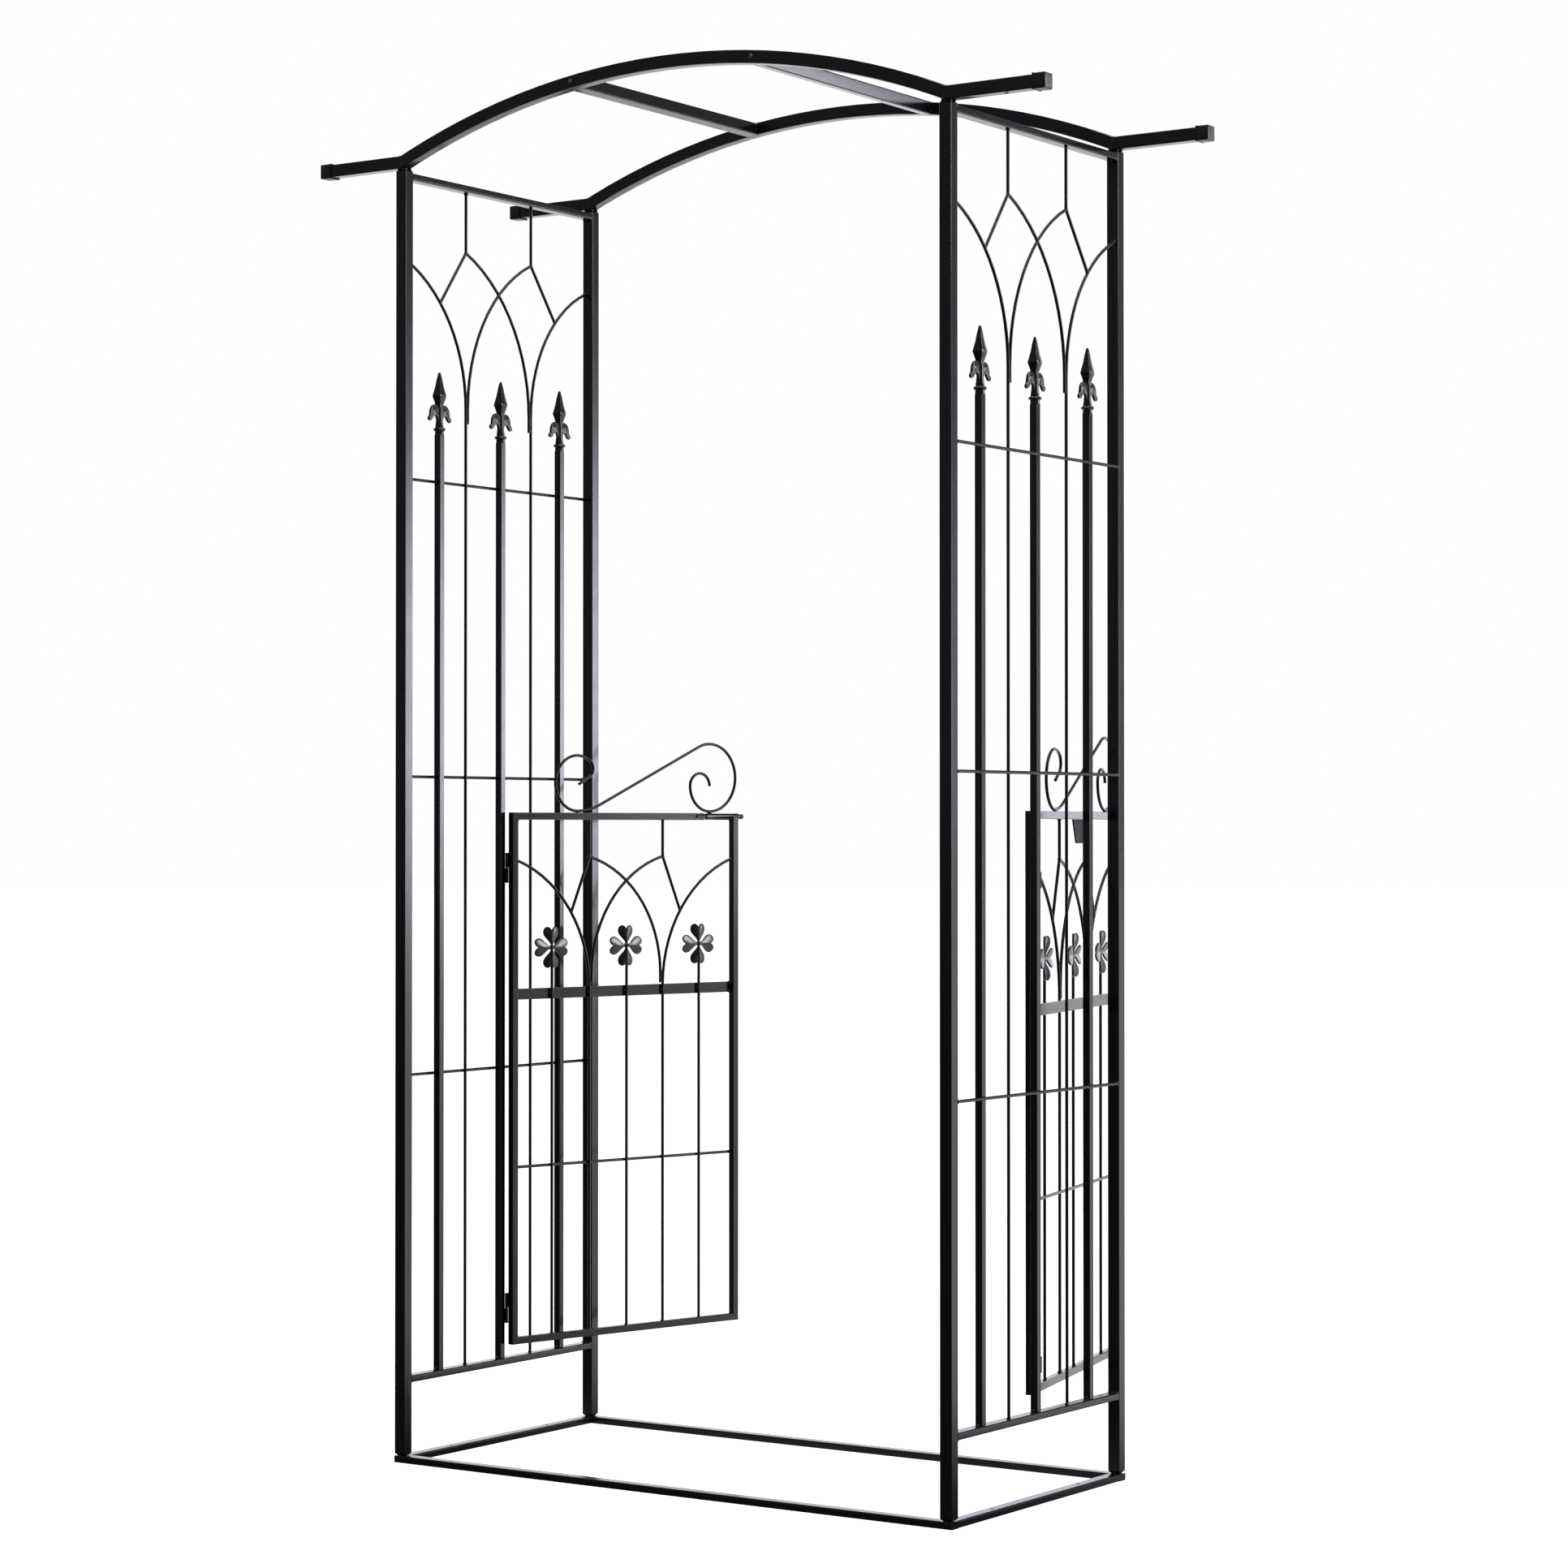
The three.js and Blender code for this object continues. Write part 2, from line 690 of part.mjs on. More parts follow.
// The lower half stands on the bar and carries the pin.
function postHinge(hingeZ) {
  const knuckle = new THREE.CylinderGeometry(knuckleRadius, knuckleRadius, knuckleHeight, 20);
  knuckle.rotateX(Math.PI / 2).translate(0, 0, -knuckleHeight / 2 - touchGap);
  const pinLength = knuckleHeight + hingeHeight / 2 - 5;
  const pin = new THREE.CylinderGeometry(pinRadius, pinRadius, pinLength, 16);
  pin.rotateX(Math.PI / 2).translate(0, 0, pinLength / 2 - knuckleHeight);
  const plate = hingePlate(-1, -hingeHeight / 2, -touchGap);
  return joined([solid(knuckle), solid(pin), plate]).translate(0, 0, hingeZ);
}

// The upper half hangs the leaf's stile on that pin.
function leafHinge(hingeZ) {
  const knuckle = new THREE.CylinderGeometry(knuckleRadius, knuckleRadius, knuckleHeight, 20);
  knuckle.rotateX(Math.PI / 2).translate(0, 0, knuckleHeight / 2 + touchGap);
  const boreRadius = pinRadius + pinClearance;
  const boreDepth = hingeHeight - 6;
  const bore = new THREE.CylinderGeometry(boreRadius, boreRadius, boreDepth, 16);
  bore.rotateX(Math.PI / 2);
  const plate = hingePlate(1, touchGap, hingeHeight / 2);
  return joined([solid(knuckle), plate]).subtract(solid(bore)).translate(0, 0, hingeZ);
}

// --- assembly -----------------------------------------------------------------------------

const gardenArch = new THREE.Group();

for (const [column, side] of [["left", -1], ["right", 1]]) {
  const panel = new THREE.Group();
  panel.position.x = side * halfWidth;
  for (const [row, y] of [["front", 0], ["rear", frameDepth]]) {
    const upright = piece(`post_${row}_${column}`, post(), coat);
    upright.position.y = y;
    panel.add(upright);
  }
  panel.add(piece(`base_${column}`, sideBaseTube(), coat));
  panel.add(piece(`top_rail_${column}`, sideRail(postTop - topRailDrop), coat));
  panel.add(piece(`bottom_rail_${column}`, sideRail(bottomRailTop), coat));
  for (const [row, place] of [["front", -1], ["middle", 0], ["rear", 1]]) {
    const barLength = barTop - bottomRailTop - touchGap;
    const section = roundedRectangle(barSide, barSide, barCorner);
    const bar = piece(`bar_${column}_${row}`, uprightBar(section, barLength), coat);
    bar.position.set(0, midDepth + place * barSpacing, bottomRailTop + touchGap);
    const spear = piece(`finial_${column}_${row}`, finial(), castBlack);
    spear.position.set(0, midDepth + place * barSpacing, barTop + touchGap);
    panel.add(bar, spear);
  }
  const lattice = piece(`lattice_${column}`, panelLattice(side), coat);
  lattice.position.y = midDepth;
  panel.add(lattice);
  const bar = piece(`cross_bar_${column}`, crossBar(side), coat);
  gardenArch.add(panel, bar);
}

for (const [row, y] of [["front", 0], ["rear", frameDepth]]) {
  const baseLength = frameWidth + tubeSide;
  const base = barAlongX(tubeSide, flatTubeHeight, tubeCorner, baseLength);
  base.translate(-baseLength / 2, y, flatTubeHeight / 2);
  gardenArch.add(piece(`base_${row}`, base, coat));
  const bow = piece(`arch_${row}`, arch(), coat);
  bow.position.y = y;
  gardenArch.add(bow);
  for (const [column, side] of [["left", -1], ["right", 1]]) {
    const cap = piece(`end_cap_${row}_${column}`, endCap(side), capPlastic);
    cap.position.y = y;
    gardenArch.add(cap);
  }
}

// The right leaf is the left one's mirror image, so its group is flipped in X.
const openAngles = { left: leftOpenAngle, right: rightOpenAngle };
for (const [column, side] of [["left", -1], ["right", 1]]) {
  const pinPlace = new THREE.Group();
  pinPlace.position.set(side * (halfWidth - pinOffset), midDepth + pinBehind, 0);
  pinPlace.scale.x = -side;
  const swung = new THREE.Group();
  swung.rotation.z = THREE.MathUtils.degToRad(openAngles[column]);
  const leaf = new THREE.Group();
  leaf.position.y = -pinBehind;
  swung.add(leaf);
  pinPlace.add(swung);
  gardenArch.add(pinPlace);

  const frame = side < 0 ? leftLeafFrame() : rightLeafFrame();
  leaf.add(piece(`gate_frame_${column}`, frame, coat));
  leaf.add(piece(`gate_mid_rail_${column}`, midRail(), coat));
  leaf.add(piece(`gate_lattice_${column}`, leafLattice(), coat));
  leaf.add(piece(`gate_scroll_${column}`, scrollRod(), coat));
  for (const [order, share] of [["hinge", 1 / 6], ["middle", 1 / 2], ["free", 5 / 6]]) {
    const place = hingeStileX + share * leafPitch;
    leaf.add(piece(`clover_${column}_${order}`, clover(place), castBlack));
  }
  for (const [level, drop] of [["upper", upperHingeDrop], ["lower", lowerHingeDrop]]) {
    swung.add(piece(`gate_hinge_${column}_${level}`, leafHinge(leafTop - drop), coat));
    pinPlace.add(piece(`post_hinge_${column}_${level}`, postHinge(leafTop - drop), coat));
  }
  if (side < 0) {
    leaf.add(piece("latch_bolt", latchBolt(), boltSteel));
  } else {
    leaf.add(piece("pull_tab", pullTab(), coat));
  }
}

export default gardenArch;
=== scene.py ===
import bpy
import bmesh
import json
import math
from mathutils import Matrix, Vector


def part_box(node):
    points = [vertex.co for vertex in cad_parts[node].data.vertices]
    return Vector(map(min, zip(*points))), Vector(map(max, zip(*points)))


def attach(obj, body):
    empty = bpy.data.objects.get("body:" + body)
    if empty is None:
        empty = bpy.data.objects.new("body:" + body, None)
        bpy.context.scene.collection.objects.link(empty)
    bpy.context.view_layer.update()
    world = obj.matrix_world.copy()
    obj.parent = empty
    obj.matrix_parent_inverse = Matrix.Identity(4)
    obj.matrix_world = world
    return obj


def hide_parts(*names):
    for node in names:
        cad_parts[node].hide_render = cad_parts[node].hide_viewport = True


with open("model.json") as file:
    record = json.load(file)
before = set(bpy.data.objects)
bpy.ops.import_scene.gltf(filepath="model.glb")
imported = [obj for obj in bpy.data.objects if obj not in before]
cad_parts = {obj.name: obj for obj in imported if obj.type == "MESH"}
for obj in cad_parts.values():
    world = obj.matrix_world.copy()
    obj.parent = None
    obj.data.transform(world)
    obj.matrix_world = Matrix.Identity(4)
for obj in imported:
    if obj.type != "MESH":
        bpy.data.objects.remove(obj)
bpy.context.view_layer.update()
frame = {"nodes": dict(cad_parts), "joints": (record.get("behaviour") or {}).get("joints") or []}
print("frame loaded")


# small helpers used by every piece

def pick(obj):
    if bpy.context.mode != "OBJECT":
        bpy.ops.object.mode_set(mode="OBJECT")
    bpy.ops.object.select_all(action="DESELECT")
    obj.select_set(True)
    bpy.context.view_layer.objects.active = obj


def nothingPicked():
    if bpy.context.mode != "OBJECT":
        bpy.ops.object.mode_set(mode="OBJECT")
    bpy.ops.object.select_all(action="DESELECT")


def editMode(on):
    bpy.ops.object.mode_set(mode="EDIT" if on else "OBJECT")


def joinAll(objs, name):
    pick(objs[0])
    for obj in objs:
        obj.select_set(True)
    if len(objs) > 1:
        bpy.ops.object.join()
    made = bpy.context.view_layer.objects.active
    made.name = name
    made.data.name = name
    return made


def copyOf(obj):
    twin = obj.copy()
    twin.data = obj.data.copy()
    bpy.context.collection.objects.link(twin)
    return twin


def settle(obj, matrix=None, angle=40):
    # put the place into the mesh, turn every face outwards and smooth it
    pick(obj)
    if matrix is not None:
        obj.matrix_world = matrix @ obj.matrix_world
    bpy.ops.object.transform_apply(location=True, rotation=True, scale=True)
    editMode(True)
    bpy.ops.mesh.select_all(action="SELECT")
    bpy.ops.mesh.normals_make_consistent(inside=False)
    editMode(False)
    bpy.ops.object.shade_smooth_by_angle(angle=math.radians(angle))
    return obj


def finishPiece(obj, body, material, slotName, *nodes):
    obj.data.materials.clear()
    obj.data.materials.append(material)
    if nodes:
        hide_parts(*nodes)
    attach(obj, body)
    return obj


def modify(obj, kind, **values):
    pick(obj)
    bpy.ops.object.modifier_add(type=kind)
    modifier = obj.modifiers[-1]
    for key, value in values.items():
        setattr(modifier, key, value)
    bpy.ops.object.modifier_apply(modifier=modifier.name)


# a round or many-sided solid built upwards from [radius, height] rows
def turnedPiece(rows, sides, turn=0.0):
    nothingPicked()
    radius, height = rows[0]
    bpy.ops.mesh.primitive_circle_add(
        vertices=sides, radius=radius, fill_type="NGON", location=(0, 0, height),
        rotation=(0, 0, turn))
    made = bpy.context.object
    bpy.ops.object.transform_apply(location=True, rotation=True, scale=True)
    editMode(True)
    bpy.ops.mesh.select_all(action="SELECT")
    for nextRadius, nextHeight in rows[1:]:
        bpy.ops.mesh.extrude_region_move(
            TRANSFORM_OT_translate={"value": (0, 0, nextHeight - height)})
        ratio = nextRadius / radius
        bpy.ops.transform.resize(value=(ratio, ratio, 1), center_override=(0, 0, nextHeight))
        radius, height = nextRadius, nextHeight
    bpy.ops.mesh.select_all(action="SELECT")
    bpy.ops.mesh.normals_make_consistent(inside=False)
    editMode(False)
    return made


# a round rod in the XZ plane: it starts at (x, z), heads at an angle from +X, and each move is
# ("run", length) or ("bend", radius, angle), with a positive angle bending it to the left
def bentRod(radius, start, heading, moves, sides=12):
    nothingPicked()
    x, z = start
    bpy.ops.mesh.primitive_circle_add(
        vertices=sides, radius=radius, fill_type="NOTHING", location=(x, 0, z),
        rotation=(0, math.pi / 2 - heading, 0))
    made = bpy.context.object
    bpy.ops.object.transform_apply(location=True, rotation=True, scale=True)
    editMode(True)
    bpy.ops.mesh.select_all(action="SELECT")
    for kind, *values in moves:
        if kind == "run":
            dx = values[0] * math.cos(heading)
            dz = values[0] * math.sin(heading)
            bpy.ops.mesh.extrude_region_move(TRANSFORM_OT_translate={"value": (dx, 0, dz)})
            x, z = x + dx, z + dz
            continue
        bend, angle = values
        side = 1 if angle > 0 else -1
        middleX = x - side * bend * math.sin(heading)
        middleZ = z + side * bend * math.cos(heading)
        steps = max(3, math.ceil(abs(angle) / 0.09))
        for step in range(steps):
            part = angle / steps
            bpy.ops.mesh.extrude_region_move(TRANSFORM_OT_translate={"value": (0, 0, 0)})
            bpy.ops.transform.rotate(
                value=spinSign * part, orient_axis="Y", orient_type="GLOBAL",
                center_override=(middleX, 0, middleZ))
        heading += angle
        x = middleX + side * bend * math.sin(heading)
        z = middleZ - side * bend * math.cos(heading)
    bpy.ops.mesh.select_all(action="SELECT")
    bpy.ops.mesh.fill_holes(sides=0)
    bpy.ops.mesh.normals_make_consistent(inside=False)
    editMode(False)
    return made


# which way transform.rotate turns about Y here, found on one spare vertex
def findSpinSign():
    nothingPicked()
    bpy.ops.mesh.primitive_circle_add(vertices=3, radius=0.01, location=(1, 0, 0))
    probe = bpy.context.object
    bpy.ops.object.transform_apply(location=True)
    editMode(True)
    bpy.ops.mesh.select_all(action="SELECT")
    bpy.ops.transform.rotate(
        value=0.5, orient_axis="Y", orient_type="GLOBAL", center_override=(0, 0, 0))
    editMode(False)
    height = sum(vertex.co.z for vertex in probe.data.vertices)
    bpy.data.objects.remove(probe)
    return 1 if height > 0 else -1


spinSign = findSpinSign()


# camera and light

cameraSizes = {
    "place": (3.362, -4.614, 1.0),
    "turn": (math.pi / 2 + 0.0117, 0, 0.5977),
    "lens": 86.99,
    "sensor": 36,
    "farthest": 200,
}

cameraData = bpy.data.cameras.new("camera")
camera = bpy.data.objects.new("camera", cameraData)
bpy.context.collection.objects.link(camera)
camera.location = cameraSizes["place"]
camera.rotation_euler = cameraSizes["turn"]
cameraData.lens = cameraSizes["lens"]
cameraData.sensor_width = cameraSizes["sensor"]
cameraData.clip_end = cameraSizes["farthest"]
bpy.context.scene.camera = camera
bpy.context.scene.view_settings.view_transform = "Standard"

studio = {
    "backdrop": 1.0,
    "tint": (0.91, 0.89, 1, 1),
    "inFront": 0.18,
    "behind": 0.2,
    # the brighter parts of what the tubes mirror: way, how near to it, strength
    "glows": [
        ((0.087, 0.995, 0.05), 0.92, 0.985, 2.4),
        ((-0.57, 0.80, 0.175), 0.93, 0.985, 1.3),
        ((0.6196, 0.7843, 0.03), 0.9968, 0.9993, 13),
    ],
    "floorRadius": 60,
    "floorSeen": 0.92,
    "floorFront": 0.04,
    "floorBehind": 1.2,
    "lights": [
        # name, place, aim, width, height, watts, colour
        ("softbox_over", (0.2, 0.3, 5.2), (0, 0.25, 1.2), 3.5, 3.0, 110, (1, 1, 1)),
        ("softbox_high", (4.0, 2.75, 2.95), (-0.4, 0.45, 0.8), 1.3, 0.9, 60, (1, 1, 1)),
        ("softbox_right", (4.36, 3.25, 1.7), (-0.4, 0.5, 1.0), 1.2, 1.8, 24, (0.88, 0.86, 1)),
    ],
}


def makeWorld():
    world = bpy.data.worlds.new("studio")
    bpy.context.scene.world = world
    world.use_nodes = True
    nodes, links = world.node_tree.nodes, world.node_tree.links
    nodes.clear()
    place = nodes.new("ShaderNodeTexCoord")

    def glow(way, low, high, dark, bright):
        along = nodes.new("ShaderNodeVectorMath")
        along.operation = "DOT_PRODUCT"
        along.inputs[1].default_value = way
        ramp = nodes.new("ShaderNodeMapRange")
        ramp.interpolation_type = "SMOOTHSTEP"
        ramp.inputs["From Min"].default_value = low
        ramp.inputs["From Max"].default_value = high
        ramp.inputs["To Min"].default_value = dark
        ramp.inputs["To Max"].default_value = bright
        links.new(place.outputs["Generated"], along.inputs[0])
        links.new(along.outputs["Value"], ramp.inputs["Value"])
        return ramp.outputs["Result"]

    total = glow((0, 1, 0), -0.9, 0.9, studio["inFront"], studio["behind"])
    for way, low, high, strength in studio["glows"]:
        both = nodes.new("ShaderNodeMath")
        links.new(total, both.inputs[0])
        links.new(glow(way, low, high, 0, strength), both.inputs[1])
        total = both.outputs["Value"]
    rays = nodes.new("ShaderNodeLightPath")
    mix = nodes.new("ShaderNodeMix")
    mix.inputs["B"].default_value = studio["backdrop"]
    tint = nodes.new("ShaderNodeMix")
    tint.data_type = "RGBA"
    tint.inputs["A"].default_value = studio["tint"]
    tint.inputs["B"].default_value = (1, 1, 1, 1)
    back = nodes.new("ShaderNodeBackground")
    out = nodes.new("ShaderNodeOutputWorld")
    links.new(total, mix.inputs["A"])
    links.new(rays.outputs["Is Camera Ray"], mix.inputs["Factor"])
    links.new(rays.outputs["Is Camera Ray"], tint.inputs["Factor"])
    links.new(mix.outputs["Result"], back.inputs["Strength"])
    links.new(tint.outputs["Result"], back.inputs["Color"])
    links.new(back.outputs["Background"], out.inputs["Surface"])


def makeFloor():
    nothingPicked()
    bpy.ops.mesh.primitive_circle_add(
        vertices=96, radius=studio["floorRadius"], fill_type="NGON", location=(0, 0.25, 0))
    floor = bpy.context.object
    floor.name = "floor"
    paint = bpy.data.materials.new("floor")
    paint.use_nodes = True
    nodes, links = paint.node_tree.nodes, paint.node_tree.links
    shader = nodes["Principled BSDF"]
    shader.inputs["Roughness"].default_value = 0.9
    shader.inputs["Specular IOR Level"].default_value = 0
    shader.inputs["Emission Color"].default_value = (1, 1, 1, 1)
    # to the eye the floor is white; what the tubes mirror is dark in front and bright behind
    place = nodes.new("ShaderNodeTexCoord")
    split = nodes.new("ShaderNodeSeparateXYZ")
    ramp = nodes.new("ShaderNodeMapRange")
    ramp.interpolation_type = "SMOOTHSTEP"
    ramp.inputs["From Min"].default_value = -0.2
    ramp.inputs["From Max"].default_value = 1.2
    ramp.inputs["To Min"].default_value = studio["floorFront"]
    ramp.inputs["To Max"].default_value = studio["floorBehind"]
    rays = nodes.new("ShaderNodeLightPath")
    glow = nodes.new("ShaderNodeMix")
    glow.inputs["B"].default_value = studio["floorSeen"]
    tone = nodes.new("ShaderNodeMix")
    tone.data_type = "RGBA"
    tone.inputs["A"].default_value = (0.04, 0.04, 0.04, 1)
    tone.inputs["B"].default_value = (0.92, 0.92, 0.92, 1)
    links.new(place.outputs["Object"], split.inputs["Vector"])
    links.new(split.outputs["Y"], ramp.inputs["Value"])
    links.new(ramp.outputs["Result"], glow.inputs["A"])
    links.new(rays.outputs["Is Camera Ray"], glow.inputs["Factor"])
    links.new(rays.outputs["Is Camera Ray"], tone.inputs["Factor"])
    links.new(glow.outputs["Result"], shader.inputs["Emission Strength"])
    links.new(tone.outputs["Result"], shader.inputs["Base Color"])
    floor.data.materials.append(paint)


def makeLights():
    for name, place, aim, width, height, watts, colour in studio["lights"]:
        data = bpy.data.lights.new(name, "AREA")
        data.shape = "RECTANGLE"
        data.size, data.size_y = width, height
        data.energy = watts
        data.color = colour
        light = bpy.data.objects.new(name, data)
        bpy.context.collection.objects.link(light)
        light.location = place
        light.rotation_euler = (Vector(aim) - Vector(place)).to_track_quat("-Z", "Y").to_euler()
        light.visible_camera = False


makeWorld()
makeFloor()
makeLights()
print("camera and studio set")


# finishes

def makeCoatGroup():
    # powder coat: fine orange peel, broad tone drift, a few specks and dust that lies on top
    group = bpy.data.node_groups.new("powderCoat", "ShaderNodeTree")
    face = group.interface
    for name, kind, value in [
        ("Tone", "NodeSocketColor", (0.01, 0.01, 0.011, 1)),
        ("Drift", "NodeSocketColor", (0.016, 0.016, 0.019, 1)),
        ("Dust Colour", "NodeSocketColor", (0.2, 0.19, 0.18, 1)),
        ("Dust", "NodeSocketFloat", 0.06),
        ("Roughness", "NodeSocketFloat", 0.33),
        ("Roughness Drift", "NodeSocketFloat", 0.08),
        ("Peel Scale", "NodeSocketFloat", 420.0),
        ("Speck Scale", "NodeSocketFloat", 260.0),
    ]:
        socket = face.new_socket(name, in_out="INPUT", socket_type=kind)
        socket.default_value = value
    for name, kind in [
        ("Color", "NodeSocketColor"), ("Roughness", "NodeSocketFloat"),
        ("Height", "NodeSocketFloat"),
    ]:
        face.new_socket(name, in_out="OUTPUT", socket_type=kind)
    nodes, links = group.nodes, group.links
    given = nodes.new("NodeGroupInput")
    result = nodes.new("NodeGroupOutput")
    place = nodes.new("ShaderNodeTexCoord")

    def noise(scale, detail, rough):
        made = nodes.new("ShaderNodeTexNoise")
        links.new(place.outputs["Object"], made.inputs["Vector"])
        if isinstance(scale, str):
            links.new(given.outputs[scale], made.inputs["Scale"])
        else:
            made.inputs["Scale"].default_value = scale
        made.inputs["Detail"].default_value = detail
        made.inputs["Roughness"].default_value = rough
        return made

    def maths(operation, first, second):
        made = nodes.new("ShaderNodeMath")
        made.operation = operation
        for socket, value in zip(made.inputs, (first, second)):
            if isinstance(value, (int, float)):
                socket.default_value = value
            else:
                links.new(value, socket)
        return made.outputs["Value"]

    def blend(mask, first, second):
        made = nodes.new("ShaderNodeMix")
        made.data_type = "RGBA"
        links.new(mask, made.inputs["Factor"])
        links.new(first, made.inputs["A"])
        links.new(second, made.inputs["B"])
        return made.outputs["Result"]

    broad = noise(7, 3, 0.55)
    cloud = noise(38, 4, 0.6)
    peel = noise("Peel Scale", 2, 0.45)
    ripple = noise(90, 2, 0.5)
    specks = nodes.new("ShaderNodeTexVoronoi")
    links.new(place.outputs["Object"], specks.inputs["Vector"])
    links.new(given.outputs["Speck Scale"], specks.inputs["Scale"])
    near = nodes.new("ShaderNodeMapRange")
    near.inputs["From Min"].default_value = 0.13
    near.inputs["From Max"].default_value = 0.05
    links.new(specks.outputs["Distance"], near.inputs["Value"])
    rare = nodes.new("ShaderNodeMapRange")
    rare.inputs["From Min"].default_value = 0.55
    rare.inputs["From Max"].default_value = 0.7
    links.new(cloud.outputs["Fac"], rare.inputs["Value"])
    speckMask = maths("MULTIPLY", near.outputs["Result"], rare.outputs["Result"])

    geometry = nodes.new("ShaderNodeNewGeometry")
    upright = nodes.new("ShaderNodeSeparateXYZ")
    links.new(geometry.outputs["Normal"], upright.inputs["Vector"])
    lying = nodes.new("ShaderNodeMapRange")
    lying.inputs["From Min"].default_value = 0.35
    lying.inputs["From Max"].default_value = 0.95
    links.new(upright.outputs["Z"], lying.inputs["Value"])
    patches = maths("MULTIPLY", lying.outputs["Result"], cloud.outputs["Fac"])
    dustMask = maths("MULTIPLY", patches, given.outputs["Dust"])

    toned = blend(broad.outputs["Fac"], given.outputs["Tone"], given.outputs["Drift"])
    specked = blend(maths("MULTIPLY", speckMask, 0.25), toned, given.outputs["Dust Colour"])
    dusted = blend(dustMask, specked, given.outputs["Dust Colour"])
    links.new(dusted, result.inputs["Color"])

    swing = maths("SUBTRACT", broad.outputs["Fac"], 0.5)
    swing = maths("MULTIPLY", swing, given.outputs["Roughness Drift"])
    fine = maths("MULTIPLY", maths("SUBTRACT", cloud.outputs["Fac"], 0.5), 0.05)
    rough = maths("ADD", maths("ADD", given.outputs["Roughness"], swing), fine)
    rough = maths("ADD", rough, maths("MULTIPLY", dustMask, 0.8))
    links.new(rough, result.inputs["Roughness"])

    height = maths("ADD", peel.outputs["Fac"], maths("MULTIPLY", ripple.outputs["Fac"], 0.6))
    height = maths("ADD", height, maths("MULTIPLY", speckMask, 0.8))
    links.new(height, result.inputs["Height"])
    return group


coatGroup = makeCoatGroup()


def coatMaterial(name, values, bump, specular=0.5, metallic=0.0):
    material = bpy.data.materials.new(name)
    material.use_nodes = True
    nodes, links = material.node_tree.nodes, material.node_tree.links
    shader = nodes["Principled BSDF"]
    shader.inputs["Metallic"].default_value = metallic
    shader.inputs["Specular IOR Level"].default_value = specular
    coatNode = nodes.new("ShaderNodeGroup")
    coatNode.node_tree = coatGroup
    for key, value in values.items():
        coatNode.inputs[key].default_value = value
    bumpNode = nodes.new("ShaderNodeBump")
    bumpNode.inputs["Strength"].default_value = bump
    bumpNode.inputs["Distance"].default_value = 0.0003
    links.new(coatNode.outputs["Color"], shader.inputs["Base Color"])
    links.new(coatNode.outputs["Roughness"], shader.inputs["Roughness"])
    links.new(coatNode.outputs["Height"], bumpNode.inputs["Height"])
    links.new(bumpNode.outputs["Normal"], shader.inputs["Normal"])
    return material


finishes = {
    "tube": coatMaterial("tubeCoat", {
        "Tone": (0.006, 0.006, 0.007, 1), "Drift": (0.009, 0.009, 0.011, 1),
        "Roughness": 0.17, "Roughness Drift": 0.05}, 0.015),
    "rod": coatMaterial("rodCoat", {
        "Tone": (0.007, 0.007, 0.008, 1), "Drift": (0.011, 0.011, 0.012, 1),
        "Roughness": 0.26, "Peel Scale": 700.0}, 0.03, specular=0.35),
    "cast": coatMaterial("castCoat", {
        "Tone": (0.008, 0.008, 0.009, 1), "Drift": (0.014, 0.014, 0.016, 1),
        "Roughness": 0.2, "Peel Scale": 520.0, "Speck Scale": 420.0}, 0.12),
    "tab": coatMaterial("tabCoat", {
        "Tone": (0.007, 0.007, 0.008, 1), "Drift": (0.011, 0.011, 0.012, 1),
        "Roughness": 0.6, "Peel Scale": 700.0}, 0.1, specular=0.2),
    "weld": coatMaterial("weldCoat", {
        "Tone": (0.009, 0.009, 0.01, 1), "Drift": (0.015, 0.015, 0.016, 1),
        "Roughness": 0.17, "Peel Scale": 900.0}, 0.3),
    "plastic": coatMaterial("capPlastic", {
        "Tone": (0.012, 0.012, 0.013, 1), "Drift": (0.017, 0.017, 0.018, 1),
        "Roughness": 0.36, "Peel Scale": 1600.0, "Dust": 0.1}, 0.12),
    "bolt": coatMaterial("boltCoat", {
        "Tone": (0.01, 0.01, 0.011, 1), "Drift": (0.03, 0.03, 0.032, 1),
        "Roughness": 0.22, "Roughness Drift": 0.16}, 0.08, metallic=0.2),
    "zinc": coatMaterial("zincScrew", {
        "Tone": (0.32, 0.32, 0.33, 1), "Drift": (0.5, 0.5, 0.5, 1),
        "Roughness": 0.25, "Dust": 0.0}, 0.3, metallic=1.0),
}
print("finishes made")


# the leaves' own space: X runs along the closed leaf from its pin, Y = 0 is the pin's plane

leafSizes = {
    "start": 0.009,
    "pitch": 0.473,
    "halfBar": 0.006,
}


def leafMatrix(column):
    joint = next(j for j in frame["joints"] if j["name"] == "gate_" + column + "_swing")
    pin = Vector((joint["pos_m"][0], joint["pos_m"][1], 0))
    mirror = Matrix.Diagonal((-1, 1, 1, 1)) if column == "right" else Matrix.Identity(4)
    open_ = math.radians(-joint["range_deg"][0])
    return Matrix.Translation(pin) @ mirror @ Matrix.Rotation(open_, 4, "Z")


def panelMatrix(column):
    low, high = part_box("bar_" + column + "_middle")
    middle = (low + high) / 2
    return Matrix.Translation((middle.x, middle.y, 0)) @ Matrix.Rotation(math.pi / 2, 4, "Z")


leafPlace = {column: leafMatrix(column) for column in ("left", "right")}
panelPlace = {column: panelMatrix(column) for column in ("left", "right")}
sideSign = {"left": -1, "right": 1}


# tubes, bars, plates and hinges keep their CAD shape, merged and smoothed

